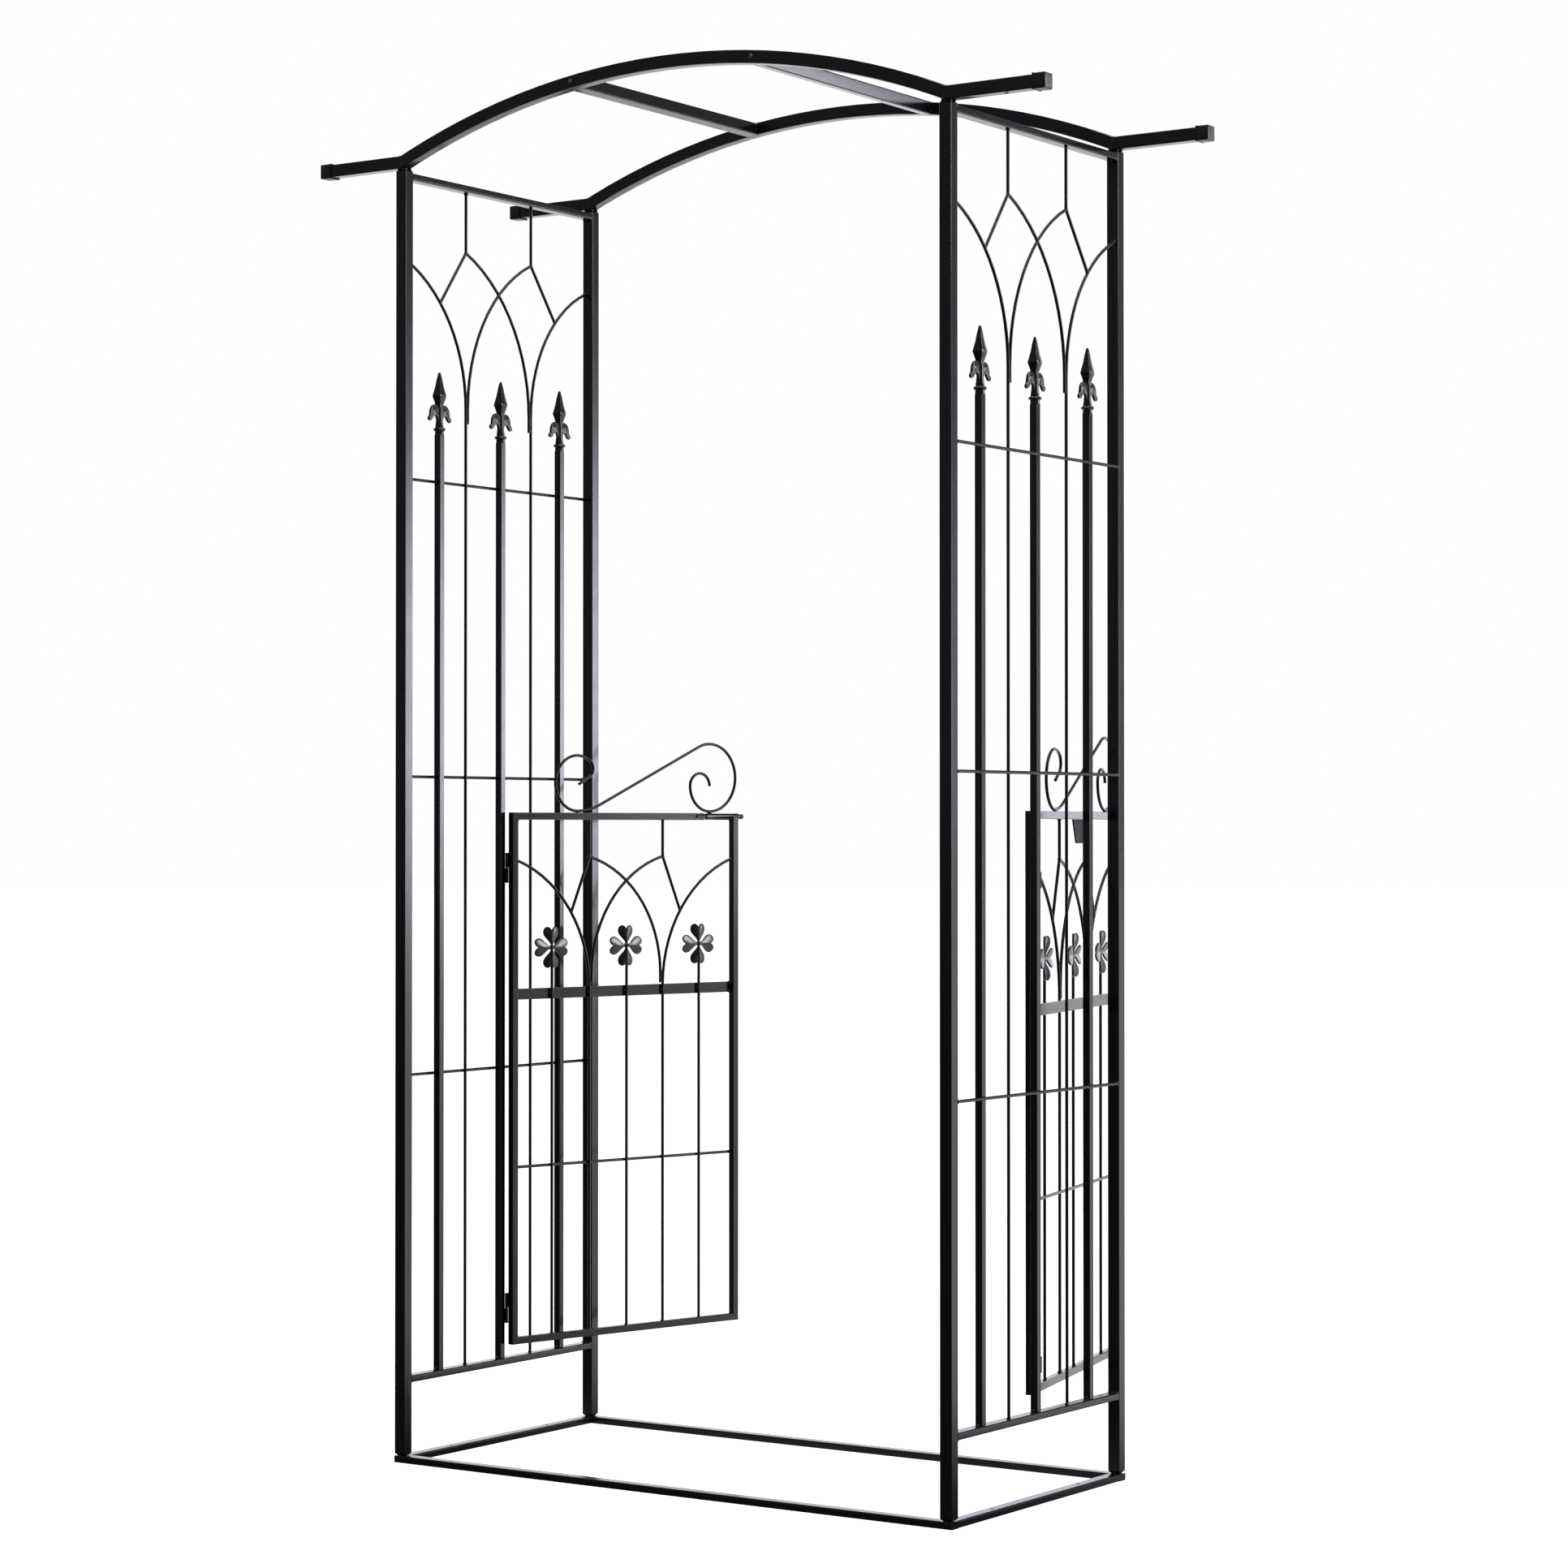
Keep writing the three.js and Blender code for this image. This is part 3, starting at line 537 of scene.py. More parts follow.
tubeFinish = {
    "frame": ["post_front_left", "post_front_right", "post_rear_left", "post_rear_right",
              "base_front", "base_rear", "base_left", "base_right",
              "top_rail_left", "top_rail_right", "bottom_rail_left", "bottom_rail_right",
              "arch_front", "arch_rear", "cross_bar_left", "cross_bar_right"]
             + ["bar_%s_%s" % (c, r) for c in ("left", "right")
                for r in ("front", "middle", "rear")]
             + ["post_hinge_%s_%s" % (c, r) for c in ("left", "right")
                for r in ("upper", "lower")],
    "gate_left": ["gate_frame_left", "gate_mid_rail_left",
                  "gate_hinge_left_upper", "gate_hinge_left_lower"],
    "gate_right": ["gate_frame_right", "gate_mid_rail_right", "pull_tab",
                   "gate_hinge_right_upper", "gate_hinge_right_lower"],
    "latch": ["latch_bolt"],
}

edgeRounding = {"pull_tab": 0.0006}


def smoothedCopy(name, body):
    made = copyOf(frame["nodes"][name])
    made.name = name + "_coated"
    pick(made)
    made.parent = None
    editMode(True)
    bpy.ops.mesh.select_all(action="SELECT")
    bpy.ops.mesh.remove_doubles(threshold=0.000002)
    bpy.ops.mesh.dissolve_limited(angle_limit=math.radians(0.3))
    editMode(False)
    if name in edgeRounding:
        modify(made, "BEVEL", width=edgeRounding[name], segments=2, angle_limit=math.radians(40))
    bpy.ops.object.shade_smooth_by_angle(angle=math.radians(32))
    modify(made, "WEIGHTED_NORMAL", keep_sharp=True, weight=60)
    finish = finishes["bolt"] if body == "latch" else finishes["tube"]
    if name == "pull_tab":
        finish = finishes["tab"]
    slotName = "bolt_steel" if body == "latch" else "black_coat"
    return finishPiece(made, body, finish, slotName, name)


for body, names in tubeFinish.items():
    for name in names:
        smoothedCopy(name, body)
print("tubes dressed")


# rods of the panels and the leaves

panelRods = {
    "radius": 0.0025,
    "rodX": 0.085,
    "bottom": 0.136,
    "top": 2.0267,
    "node": 1.931,
    "brace": 1.843,
    "outerSpring": 1.678,
    "innerSpring": 1.678,
    "tail": 0.024,
    "outerRadius": 0.242,
    "edge": 0.2337,
}

leafRods = {
    "radius": 0.0025,
    "rodX": leafSizes["pitch"] / 6,
    "bottom": 0.170,
    "top": 1.014,
    "node": 0.953,
    "brace": 0.861,
    "outerSpring": 0.736,
    "innerSpring": 0.756,
    "tail": 0.016,
    "outerRadius": 0.224,
    "edge": 0.2302,
}

rowSizes = {
    "panelRows": (0.609, 1.082, 1.555),
    "panelRowDepth": 0.0088,
    "traceryDepth": 0.0043,
    "leafRow": 0.446,
    "leafRowDepth": 0.0045,
    "leafMiddle": leafSizes["start"] + leafSizes["pitch"] / 2,
    "leafPlane": -0.006,
    "barX": (-0.157, 0, 0.157),
    "barWeldDepth": 0.0066,
    "midRailMiddle": 0.7285,
    "midRailEdges": (0.7215, 0.7355),
    "leafCorners": (0.1705, 1.0135),
}


def traceryRods(sizes):
    radius = sizes["radius"]
    up = math.pi / 2
    rods = []
    spots = []
    for side in (-1, 1):
        rodX = side * sizes["rodX"]
        innerX = rodX - side * 2 * radius
        rods.append(bentRod(radius, (rodX, sizes["bottom"]), up,
                            [("run", sizes["outerSpring"] - sizes["bottom"])]))
        rods.append(bentRod(radius, (rodX, sizes["node"]), up,
                            [("run", sizes["top"] - sizes["node"])]))
        bend = sizes["outerRadius"]
        turn = math.acos(1 - (sizes["edge"] - sizes["rodX"]) / bend)
        rods.append(bentRod(radius, (rodX, sizes["outerSpring"]), up,
                            [("bend", bend, -side * turn)]))
        edgeHeight = sizes["outerSpring"] + bend * math.sin(turn)
        across = 2 * sizes["rodX"] - 2 * radius
        rise = sizes["node"] - sizes["innerSpring"]
        inner = (across ** 2 + rise ** 2) / (2 * across)
        rods.append(bentRod(radius, (innerX, sizes["innerSpring"] - sizes["tail"]), up,
                            [("run", sizes["tail"]),
                             ("bend", inner, side * math.asin(rise / inner))]))
        braceRise = sizes["brace"] - sizes["outerSpring"]
        braceX = rodX + side * (bend - math.sqrt(bend ** 2 - braceRise ** 2))
        dx, dz = rodX - braceX, sizes["node"] - sizes["brace"]
        rods.append(bentRod(radius, (braceX, sizes["brace"]), math.atan2(dz, dx),
                            [("run", math.hypot(dx, dz))]))
        spots += [(rodX, sizes["node"], 1.0), (braceX, sizes["brace"], 0.9),
                  (rodX - side * radius, sizes["innerSpring"] - sizes["tail"] + 0.003, 0.8),
                  (side * sizes["edge"], edgeHeight, 1.0),
                  (rodX, sizes["bottom"], 1.1), (rodX, sizes["top"], 1.1)]
    return rods, spots


weldSpots = {"frame": [], "gate_left": [], "gate_right": []}


def addSpots(body, matrix, spots):
    for x, y, z, size in spots:
        weldSpots[body].append((matrix @ Vector((x, y, z)), size))


def panelLattice(column):
    sizes = panelRods
    side = sideSign[column]
    rods, spots = traceryRods(sizes)
    tracery = joinAll(rods, "tracery")
    tracery.location.y = -side * rowSizes["traceryDepth"]
    rowY = -side * rowSizes["panelRowDepth"]
    rows = []
    for height in rowSizes["panelRows"]:
        row = bentRod(sizes["radius"], (-sizes["edge"], height), 0, [("run", 2 * sizes["edge"])])
        row.location.y = rowY
        rows.append(row)
    lattice = joinAll([tracery] + rows, "lattice_" + column + "_rods")
    settle(lattice, panelPlace[column])
    finishPiece(lattice, "frame", finishes["rod"], "black_coat", "lattice_" + column)
    depth = -side * rowSizes["traceryDepth"]
    flat = [(x, depth, z, size) for x, z, size in spots]
    for height in rowSizes["panelRows"]:
        middleY = (rowY + depth) / 2
        flat += [(x, middleY, height, 0.8) for x in (-sizes["rodX"], sizes["rodX"])]
        flat += [(x, -side * rowSizes["barWeldDepth"], height, 0.7) for x in rowSizes["barX"]]
        flat += [(x, rowY, height, 1.0) for x in (-sizes["edge"], sizes["edge"])]
    for x in rowSizes["barX"]:
        flat += [(x + dx, 0, sizes["bottom"] + 0.0006, 1.2) for dx in (-0.006, 0.006)]
    addSpots("frame", panelPlace[column], flat)


def leafLattice(column):
    body = "gate_" + column
    rods, spots = traceryRods(leafRods)
    row = bentRod(leafRods["radius"], (-leafRods["edge"], rowSizes["leafRow"]), 0,
                  [("run", 2 * leafRods["edge"])])
    row.location.y = rowSizes["leafRowDepth"]
    lattice = joinAll(rods + [row], "gate_lattice_" + column + "_rods")
    shift = Matrix.Translation((rowSizes["leafMiddle"], rowSizes["leafPlane"], 0))
    settle(lattice, leafPlace[column] @ shift)
    finishPiece(lattice, body, finishes["rod"], "black_coat", "gate_lattice_" + column)
    flat = [(x, 0, z, size) for x, z, size in spots]
    for step in (-2, -1, 0, 1, 2):
        x = step * leafRods["rodX"]
        flat.append((x, rowSizes["leafRowDepth"] / 2, rowSizes["leafRow"], 0.7))
        flat.append((x - 0.002, 0.001, rowSizes["midRailMiddle"], 0.75))
        flat.append((x, 0, leafRods["bottom"], 1.0))
    for x in (-leafRods["edge"], leafRods["edge"]):
        flat.append((x, rowSizes["leafRowDepth"], rowSizes["leafRow"], 1.0))
        flat += [(x, 0.004, z, 1.1) for z in rowSizes["midRailEdges"]]
        flat += [(x, 0, z, 1.2) for z in rowSizes["leafCorners"]]
    addSpots(body, leafPlace[column] @ shift, flat)


for column in ("left", "right"):
    panelLattice(column)
    leafLattice(column)
print("rods bent")


# scroll over each leaf

scrollSizes = {
    "radius": 0.0025,
    "place": leafSizes["start"] + 0.1325,
    "rail": 1.0263,
    "smallLoop": 0.046,
    "bigLoop": 0.0575,
    "sweep": 0.113,
    "lean": math.radians(24.8),
    "hook": 0.016,
    "hookStart": math.radians(55),
    "hookTurn": math.radians(116),
    "hookEnd": 0.025,
}


def scroll(column):
    sizes = scrollSizes
    small, big, sweep, lean = sizes["smallLoop"], sizes["bigLoop"], sizes["sweep"], sizes["lean"]
    hook, hookStart, hookTurn = sizes["hook"], sizes["hookStart"], sizes["hookTurn"]
    low = sizes["rail"] + sizes["radius"]
    inward = hookStart - hookTurn
    middleX = sizes["place"] + (small - hook) * math.cos(hookStart)
    middleZ = low + small + (small - hook) * math.sin(hookStart)
    startX = middleX + hook * math.cos(inward) + sizes["hookEnd"] * math.sin(inward)
    startZ = middleZ + hook * math.sin(inward) - sizes["hookEnd"] * math.cos(inward)
    run = (big * (1 + math.cos(lean)) - sweep * (1 - math.cos(lean))) / math.sin(lean)
    inner = 0.75 * big
    moves = [
        ("run", sizes["hookEnd"]),
        ("bend", hook, hookTurn),
        ("bend", small, 1.5 * math.pi - hookStart),
        ("bend", sweep, lean),
        ("run", run),
        ("bend", big, -(math.pi + lean)),
        ("bend", inner, -math.pi / 2),
        ("bend", inner / 2, -math.pi),
    ]
    rod = bentRod(sizes["radius"], (startX, startZ), math.pi / 2 + inward, moves, 12)
    rod.name = "gate_scroll_" + column + "_rod"
    rod.location.y = rowSizes["leafPlane"]
    settle(rod, leafPlace[column])
    finishPiece(rod, "gate_" + column, finishes["rod"], "black_coat", "gate_scroll_" + column)
    bigX = (sweep + big) * math.sin(lean) + run * math.cos(lean)
    y = rowSizes["leafPlane"]
    rail = sizes["rail"]
    addSpots("gate_" + column, leafPlace[column], [
        (sizes["place"], y, rail, 1.3), (sizes["place"] + bigX, y, rail, 1.2)])


for column in ("left", "right"):
    scroll(column)
print("scrolls bent")


# spear finials: a turned collar and neck, two broad leaves and a four-sided spear

finialSizes = {
    "collar": [(0.0072, 0.0), (0.0073, 0.0048), (0.0070, 0.0056), (0.0092, 0.0066),
               (0.0102, 0.0086), (0.0092, 0.0106), (0.0068, 0.0114), (0.0065, 0.0122),
               (0.0069, 0.0134), (0.0063, 0.0170), (0.0056, 0.0230), (0.0051, 0.0300),
               (0.0047, 0.0400), (0.0044, 0.0470)],
    "spear": [(0.0044, 0.0440), (0.0044, 0.0470), (0.0061, 0.0540), (0.0078, 0.0606),
              (0.0082, 0.0625), (0.0078, 0.0645), (0.0052, 0.0770), (0.0035, 0.0890),
              (0.0019, 0.0975), (0.0012, 0.1003)],
    # a leaf's outline, along and up: over the top, down to its tip, and back underneath
    "leaf": [(0.0000, 0.0470), (0.0060, 0.0477), (0.0130, 0.0480), (0.0185, 0.0458),
             (0.0223, 0.0413), (0.0241, 0.0362), (0.0248, 0.0308), (0.0286, 0.0247),
             (0.0255, 0.0212), (0.0207, 0.0226), (0.0170, 0.0268), (0.0130, 0.0302),
             (0.0095, 0.0290), (0.0060, 0.0210), (0.0000, 0.0140)],
    "halfThickness": 0.0022,
    "leafEdge": 0.0012,
    # the raised rib along a leaf: along, up and radius
    "rib": [(0.0040, 0.0230, 0.0027), (0.0070, 0.0345, 0.0031), (0.0125, 0.0400, 0.0033),
            (0.0182, 0.0370, 0.0031), (0.0208, 0.0300, 0.0027), (0.0258, 0.0243, 0.0015)],
    "voxel": 0.00045,
    "kept": 0.25,
    "spearEdge": 0.0005,
}


# a plate with rounded edges in the XZ plane, from an outline of (across, up) points; the first
# few of them can be joined by straight lines
def roundedPlate(outline, side, halfThickness, edge, straightPoints=0):
    nothingPicked()
    bpy.ops.curve.primitive_bezier_curve_add()
    curve = bpy.context.object
    spline = curve.data.splines[0]
    spline.bezier_points.add(len(outline) - 2)
    for index, (point, (across, up)) in enumerate(zip(spline.bezier_points, outline)):
        point.co = (side * across, up, 0)
        kind = "VECTOR" if index < straightPoints else "AUTO"
        point.handle_left_type = point.handle_right_type = kind
    spline.use_cyclic_u = True
    curve.data.dimensions = "2D"
    curve.data.fill_mode = "BOTH"
    curve.data.resolution_u = 5
    curve.data.extrude = halfThickness - edge
    curve.data.bevel_depth = edge
    curve.data.bevel_resolution = 3
    curve.data.offset = -edge
    curve.location = (0, 0, 0)
    curve.rotation_euler = (math.pi / 2, 0, 0)
    bpy.ops.object.convert(target="MESH")
    plate = bpy.context.object
    bpy.ops.object.transform_apply(location=True, rotation=True, scale=True)
    editMode(True)
    bpy.ops.mesh.select_all(action="SELECT")
    bpy.ops.mesh.remove_doubles(threshold=0.00002)
    bpy.ops.mesh.normals_make_consistent(inside=False)
    editMode(False)
    return plate


def finialRib(side):
    nothingPicked()
    bpy.ops.curve.primitive_bezier_curve_add()
    curve = bpy.context.object
    spline = curve.data.splines[0]
    rows = finialSizes["rib"]
    spline.bezier_points.add(len(rows) - 2)
    for point, (along, up, radius) in zip(spline.bezier_points, rows):
        point.co = (side * along, 0, up)
        point.radius = radius
        point.handle_left_type = point.handle_right_type = "AUTO"
    curve.data.resolution_u = 5
    curve.data.bevel_depth = 1.0
    curve.data.bevel_resolution = 3
    curve.data.use_fill_caps = True
    curve.location = (0, 0, 0)
    bpy.ops.object.convert(target="MESH")
    rib = bpy.context.object
    editMode(True)
    bpy.ops.mesh.select_all(action="SELECT")
    bpy.ops.mesh.normals_make_consistent(inside=False)
    editMode(False)
    return rib


def finialModel():
    sizes = finialSizes
    collar = turnedPiece(sizes["collar"], 24)
    spearRows = [(half * math.sqrt(2), height) for half, height in sizes["spear"]]
    spear = turnedPiece(spearRows, 4, math.pi / 4)
    modify(spear, "BEVEL", width=sizes["spearEdge"], segments=2, angle_limit=math.radians(25))
    leaves = [roundedPlate(sizes["leaf"], side, sizes["halfThickness"], sizes["leafEdge"])
              for side in (-1, 1)]
    body = joinAll(leaves + [finialRib(-1), finialRib(1)], "finialLeaves")
    modify(body, "REMESH", mode="VOXEL", voxel_size=sizes["voxel"], use_smooth_shade=True)
    modify(body, "SMOOTH", factor=0.5, iterations=2)
    modify(body, "DECIMATE", ratio=sizes["kept"])
    return joinAll([body, collar, spear], "finialModel")


def makeFinials():
    model = finialModel()
    for column in ("left", "right"):
        for row in ("front", "middle", "rear"):
            name = "finial_" + column + "_" + row
            low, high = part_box("bar_" + column + "_" + row)
            twin = copyOf(model)
            twin.name = name + "_cast"
            place = Matrix.Translation(((low.x + high.x) / 2, (low.y + high.y) / 2, high.z))
            settle(twin, place @ Matrix.Rotation(math.pi / 2, 4, "Z"), 50)
            finishPiece(twin, "frame", finishes["cast"], "black_casting", name)
    bpy.data.objects.remove(model)


makeFinials()
print("finials cast")


# clovers: four heart-shaped leaves, each folded along its middle, on a rod stem

cloverSizes = {
    # half a heart, across and out from the clover's middle; its first edge lies on the fold
    "half": [(0.0, 0.0010), (0.0, 0.0256), (0.0026, 0.0306), (0.0072, 0.0338),
             (0.0122, 0.0330), (0.0156, 0.0290), (0.0164, 0.0240), (0.0146, 0.0188),
             (0.0100, 0.0134), (0.0050, 0.0080), (0.0018, 0.0026)],
    "halfThickness": 0.0016,
    "edge": 0.0012,
    "fold": 15,
    "overlap": 0.0007,
    "hub": [(0.0042, -0.0022), (0.0046, 0.0), (0.0040, 0.0016), (0.0024, 0.0028),
            (0.0006, 0.0032)],
    "middleZ": 0.804,
    "stemRadius": 0.0025,
    "stemBottom": 0.170,
    "stemTop": 0.798,
    "inFront": 0.0008,
}


def halfHeart(side):
    sizes = cloverSizes
    half = roundedPlate(sizes["half"], side, sizes["halfThickness"], sizes["edge"], 2)
    fold = Matrix.Rotation(math.radians(side * sizes["fold"]), 4, "Z")
    half.matrix_world = fold @ Matrix.Translation((-side * sizes["overlap"], 0, 0))
    pick(half)
    bpy.ops.object.transform_apply(location=True, rotation=True, scale=True)
    return half


def cloverModel():
    sizes = cloverSizes
    leaf = joinAll([halfHeart(-1), halfHeart(1)], "cloverLeaf")
    leaves = [leaf]
    for quarter in (1, 2, 3):
        twin = copyOf(leaf)
        twin.matrix_world = Matrix.Rotation(quarter * math.pi / 2, 4, "Y")
        pick(twin)
        bpy.ops.object.transform_apply(location=True, rotation=True, scale=True)
        leaves.append(twin)
    hub = turnedPiece(sizes["hub"], 16)
    hub.matrix_world = Matrix.Rotation(math.pi / 2, 4, "X")
    pick(hub)
    bpy.ops.object.transform_apply(location=True, rotation=True, scale=True)
    head = joinAll(leaves + [hub], "cloverHead")
    head.location.z = sizes["middleZ"]
    pick(head)
    bpy.ops.object.transform_apply(location=True, rotation=True, scale=True)
    stem = bentRod(sizes["stemRadius"], (0, sizes["stemBottom"]), math.pi / 2,
                   [("run", sizes["stemTop"] - sizes["stemBottom"])])
    return joinAll([head, stem], "cloverModel")


def makeClovers():
    model = cloverModel()
    for column in ("left", "right"):
        for order, share in (("hinge", 1), ("middle", 3), ("free", 5)):
            name = "clover_" + column + "_" + order
            twin = copyOf(model)
            twin.name = name + "_stamped"
            x = leafSizes["start"] + leafSizes["pitch"] * share / 6
            y = rowSizes["leafPlane"] - cloverSizes["inFront"]
            place = Matrix.Translation((x, y, 0))
            settle(twin, leafPlace[column] @ place, 50)
            finishPiece(twin, "gate_" + column, finishes["cast"], "black_casting", name)
    bpy.data.objects.remove(model)


makeClovers()
print("clovers stamped")


# the bolt's rounded ferrule and the lip of the guide that it slides in

latchSizes = {
    "ferrule": [(0.0038, -0.0075), (0.0043, -0.0068), (0.0043, -0.0016), (0.0041, -0.0007),
                (0.0034, 0.0), (0.0022, 0.0003)],
    "lip": [(0.0052, 0.0), (0.0058, 0.0003), (0.0060, 0.0009), (0.0060, 0.0015),
            (0.0058, 0.0021), (0.0052, 0.0024)],
    "lipWall": 0.0009,
    "lipBack": 0.0012,
    "leafEnd": leafSizes["start"] + leafSizes["pitch"] + leafSizes["halfBar"],
    "tipOut": 0.013,
    "height": 1.020,
}


def makeLatch():
    sizes = latchSizes
    ferrule = turnedPiece(sizes["ferrule"], 24)
    lip = turnedPiece(sizes["lip"], 28)
    pick(lip)
    editMode(True)
    bpy.ops.mesh.select_mode(type="FACE")
    bpy.ops.mesh.select_all(action="DESELECT")
    edit = bmesh.from_edit_mesh(lip.data)
    for face in edit.faces:
        face.select = len(face.verts) > 4
    bmesh.update_edit_mesh(lip.data)
    bpy.ops.mesh.inset(thickness=sizes["lipWall"])
    bpy.ops.mesh.bridge_edge_loops()
    editMode(False)
    lying = Matrix.Rotation(math.pi / 2, 4, "Y")
    for obj, body, along, finish, slotName in [
        (ferrule, "latch", sizes["leafEnd"] + sizes["tipOut"], "bolt", "bolt_steel"),
        (lip, "gate_left", sizes["leafEnd"] - sizes["lipBack"], "tube", "black_coat"),
    ]:
        place = Matrix.Translation((along, rowSizes["leafPlane"], sizes["height"])) @ lying
        obj.name = "bolt_ferrule" if body == "latch" else "guide_lip"
        settle(obj, leafPlace["left"] @ place, 40)
        finishPiece(obj, body, finishes[finish], slotName)


makeLatch()
print("latch finished")


# plastic caps on the roof's stubs

capSizes = {
    "side": 0.023,
    "length": 0.022,
    "wall": 0.0022,
    "lip": 0.0014,
    "rim": 0.0022,
    "rimStep": 0.0005,
    "crown": 0.0004,
    "crownInset": 0.004,
    "round": 0.0020,
    "edge": 0.0004,
}


def makeCap(name, outward):
    sizes = capSizes
    low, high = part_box(name)
    middle = (low + high) / 2
    nothingPicked()
    bpy.ops.mesh.primitive_cube_add(size=1, location=(0, 0, 0))
    cap = bpy.context.object
    cap.scale = (sizes["length"] - 0.0008, sizes["side"], sizes["side"])
    bpy.ops.object.transform_apply(location=True, rotation=True, scale=True)
    editMode(True)
    bpy.ops.mesh.select_mode(type="EDGE")
    bpy.ops.mesh.select_all(action="DESELECT")
    edit = bmesh.from_edit_mesh(cap.data)
    for edge in edit.edges:
        edge.select = max(vertex.co.x for vertex in edge.verts) > 0
    bmesh.update_edit_mesh(cap.data)
    bpy.ops.mesh.bevel(offset=sizes["round"], segments=4)
    bpy.ops.mesh.select_mode(type="FACE")
    bpy.ops.mesh.select_all(action="DESELECT")
    edit = bmesh.from_edit_mesh(cap.data)
    for face in edit.faces:
        face.select = face.normal.x > 0.99
    bmesh.update_edit_mesh(cap.data)
    bpy.ops.mesh.inset(thickness=sizes["crownInset"], depth=sizes["crown"])
    bpy.ops.mesh.select_all(action="DESELECT")
    edit = bmesh.from_edit_mesh(cap.data)
    for face in edit.faces:
        face.select = face.normal.x < -0.9
    bmesh.update_edit_mesh(cap.data)
    # the open mouth: a small rim, then down into the pocket
    bpy.ops.mesh.inset(thickness=sizes["lip"])
    bpy.ops.mesh.extrude_region_move(
        TRANSFORM_OT_translate={"value": (sizes["length"] - sizes["wall"] - 0.0006, 0, 0)})
    editMode(False)
    modify(cap, "BEVEL", width=sizes["edge"], segments=2, angle_limit=math.radians(40))
    nothingPicked()
    bpy.ops.mesh.primitive_cube_add(size=1, location=(-sizes["length"] / 2 + 0.0013, 0, 0))
    rim = bpy.context.object
    rim.scale = (sizes["rim"], sizes["side"] + 2 * sizes["rimStep"] - 0.0001,
                 sizes["side"] + 2 * sizes["rimStep"] - 0.0001)
    bpy.ops.object.transform_apply(location=True, rotation=True, scale=True)
    editMode(True)
    bpy.ops.mesh.select_mode(type="FACE")
    bpy.ops.mesh.select_all(action="DESELECT")
    edit = bmesh.from_edit_mesh(rim.data)
    for face in edit.faces:
        face.select = abs(face.normal.x) > 0.9
    bmesh.update_edit_mesh(rim.data)
    bpy.ops.mesh.inset(thickness=sizes["rimStep"] + 0.0012)
    bpy.ops.mesh.bridge_edge_loops()
    editMode(False)
    modify(rim, "BEVEL", width=sizes["edge"], segments=2, angle_limit=math.radians(40))
    cap = joinAll([cap, rim], name + "_moulded")
    turn = Matrix.Identity(4) if outward > 0 else Matrix.Rotation(math.pi, 4, "Z")
    settle(cap, Matrix.Translation(middle) @ turn, 35)
    finishPiece(cap, "frame", finishes["plastic"], "cap_plastic", name)


for row in ("front", "rear"):
    for column, outward in (("left", -1), ("right", 1)):
        makeCap("end_cap_" + row + "_" + column, outward)
print("caps moulded")


# screws that hold the cross bars, on the outer faces of both arches

screwSizes = {
    "head": [(0.0018, -0.0003), (0.0036, -0.0003), (0.0037, 0.0004), (0.0034, 0.0012),
             (0.0026, 0.0018), (0.0012, 0.0021)],
    "slotLength": 0.0042,
    "slotWidth": 0.0009,
    "slotDepth": 0.0010,
}


def screwModel():
    sizes = screwSizes
    head = turnedPiece(sizes["head"], 24)
    for turn in (0.3, 0.3 + math.pi / 2):
        nothingPicked()
        bpy.ops.mesh.primitive_cube_add(size=1, location=(0, 0, 0.0021), rotation=(0, 0, turn))
        slot = bpy.context.object
        slot.scale = (sizes["slotLength"], sizes["slotWidth"], 2 * sizes["slotDepth"])
        bpy.ops.object.transform_apply(location=True, rotation=True, scale=True)
        modify(head, "BOOLEAN", object=slot, operation="DIFFERENCE", solver="EXACT")
        bpy.data.objects.remove(slot)
    return head


def makeScrews():
    model = screwModel()
    for row, out in (("front", -1), ("rear", 1)):
        archLow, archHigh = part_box("arch_" + row)
        face = archLow.y if out < 0 else archHigh.y
        for column in ("left", "right"):
            low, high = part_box("cross_bar_" + column)
            middle = (low + high) / 2
            twin = copyOf(model)
            twin.name = "screw_" + row + "_" + column
            # the head's +Z looks out of the arch's face
            turn = Matrix.Rotation(math.pi / 2 * (1 if out < 0 else -1), 4, "X")
            settle(twin, Matrix.Translation((middle.x, face, middle.z)) @ turn, 30)
            finishPiece(twin, "frame", finishes["zinc"], "bolt_steel")
    bpy.data.objects.remove(model)


makeScrews()
print("screws driven")


# weld beads

weldSizes = {
    "radius": 0.0033,
    "squash": 0.8,
    "rough": 0.0005,
    "seamLean": math.radians(11.3),
    "seamHeight": 0.0103,
    "seamFace": 0.0097,
    "seamPitch": 0.0029,
    "rowHeight": 0.0196,
    "rowPitch": 0.0027,
}


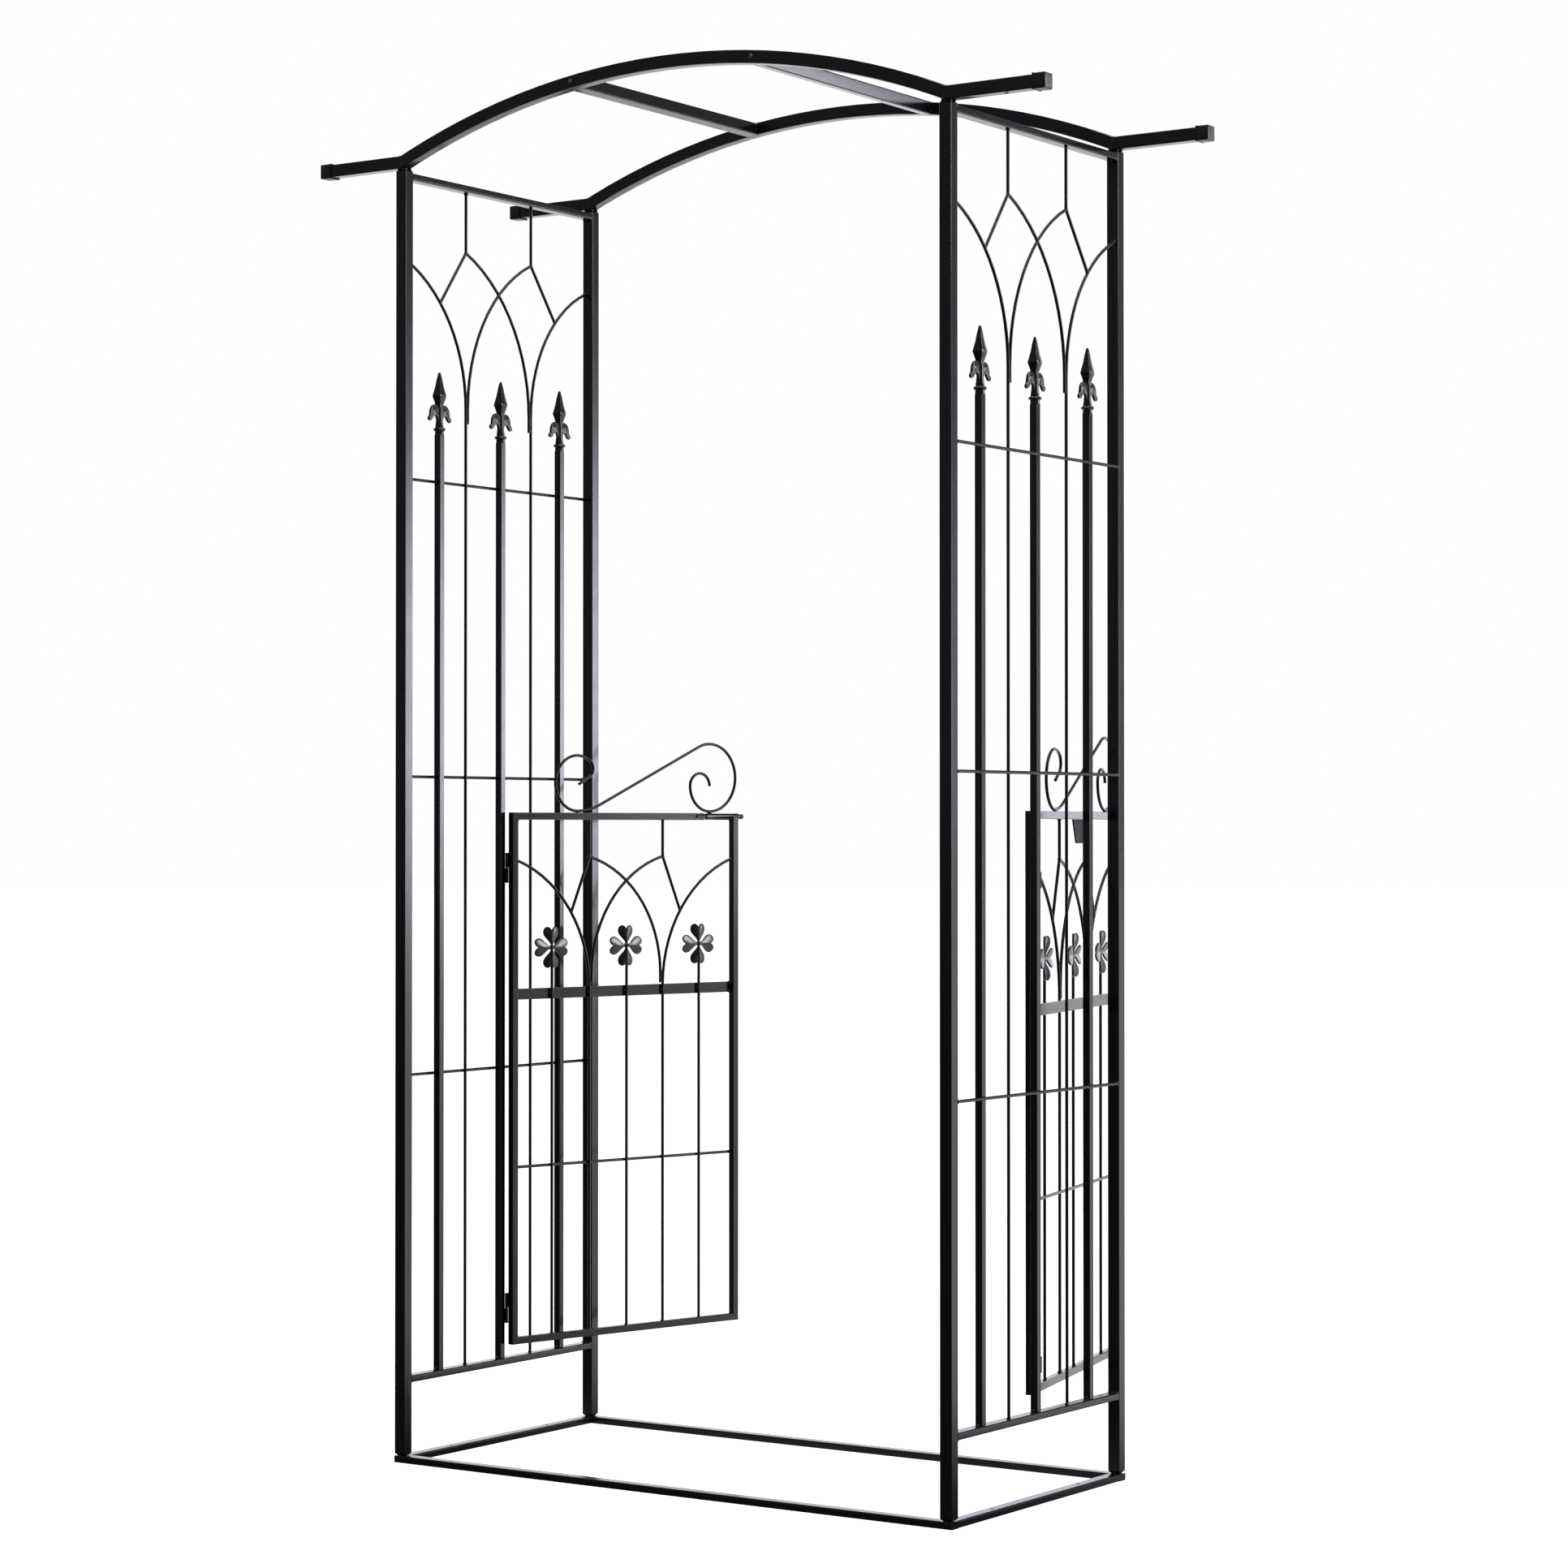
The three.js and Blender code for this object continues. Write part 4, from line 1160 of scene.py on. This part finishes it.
def elbowSpots():
    # a seam of small beads round each roof elbow and on each corner of the frame
    spots = []
    sizes = weldSizes
    seamLean = sizes["seamLean"]
    for row in ("front", "rear"):
        for column in ("left", "right"):
            low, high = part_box("post_" + row + "_" + column)
            x, y = (low.x + high.x) / 2, (low.y + high.y) / 2
            side = sideSign[column]
            for step in range(7):
                across = (step - 3) * sizes["rowPitch"]
                rowZ = high.z + sizes["rowHeight"]
                spots.append((Vector((x + side * 0.002, y + across, rowZ)), 0.45))
                # down both faces of the elbow, where the bow and the stub are mitred
                along = (step - 3) * sizes["seamPitch"]
                seamX = x + side * along * math.sin(seamLean)
                seamZ = high.z + sizes["seamHeight"] + along * math.cos(seamLean)
                for face in (-sizes["seamFace"], sizes["seamFace"]):
                    spots.append((Vector((seamX, y + face, seamZ)), 0.5))
            for dx in (-0.006, 0.006):
                spots.append((Vector((x + dx, y - 0.0055, high.z)), 1.0))
                spots.append((Vector((x + dx, y + 0.0055, high.z)), 1.0))
            for dx, dy in ((-0.006, 0), (0.006, 0), (0, -0.006), (0, 0.006)):
                spots.append((Vector((x + dx, y + dy, low.z)), 1.1))
    for kind in ("top_rail_", "bottom_rail_"):
        for column in ("left", "right"):
            low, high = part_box(kind + column)
            for y in (low.y, high.y):
                for x in (low.x + 0.003, (low.x + high.x) / 2, high.x - 0.003):
                    spots.append((Vector((x, y, low.z + 0.001)), 0.9))
                    spots.append((Vector((x, y, high.z - 0.001)), 0.9))
    for column in ("left", "right"):
        low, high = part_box("cross_bar_" + column)
        for y in (low.y, high.y):
            for dz in (-0.006, 0, 0.006):
                for x in (low.x + 0.002, high.x - 0.002):
                    spots.append((Vector((x, y, (low.z + high.z) / 2 + dz)), 0.7))
    return spots


def makeWelds():
    sizes = weldSizes
    weldSpots["frame"] += elbowSpots()
    models = []
    for seed in range(4):
        nothingPicked()
        bpy.ops.mesh.primitive_ico_sphere_add(subdivisions=2, radius=sizes["radius"])
        bead = bpy.context.object
        editMode(True)
        bpy.ops.mesh.select_all(action="SELECT")
        bpy.ops.transform.vertex_random(offset=sizes["rough"], seed=seed)
        bpy.ops.mesh.normals_make_consistent(inside=False)
        editMode(False)
        models.append(bead)
    for body, spots in weldSpots.items():
        beads = []
        for index, (place, size) in enumerate(spots):
            twin = copyOf(models[index % len(models)])
            twin.location = place
            twin.scale = (size, size, size * sizes["squash"])
            twin.rotation_euler = (0.7 * index, 0.3 * index, 1.1 * index)
            beads.append(twin)
        welds = joinAll(beads, "welds_" + body)
        settle(welds, None, 60)
        finishPiece(welds, body, finishes["weld"], "black_coat")
    for model in models:
        bpy.data.objects.remove(model)


makeWelds()
print("welds laid")
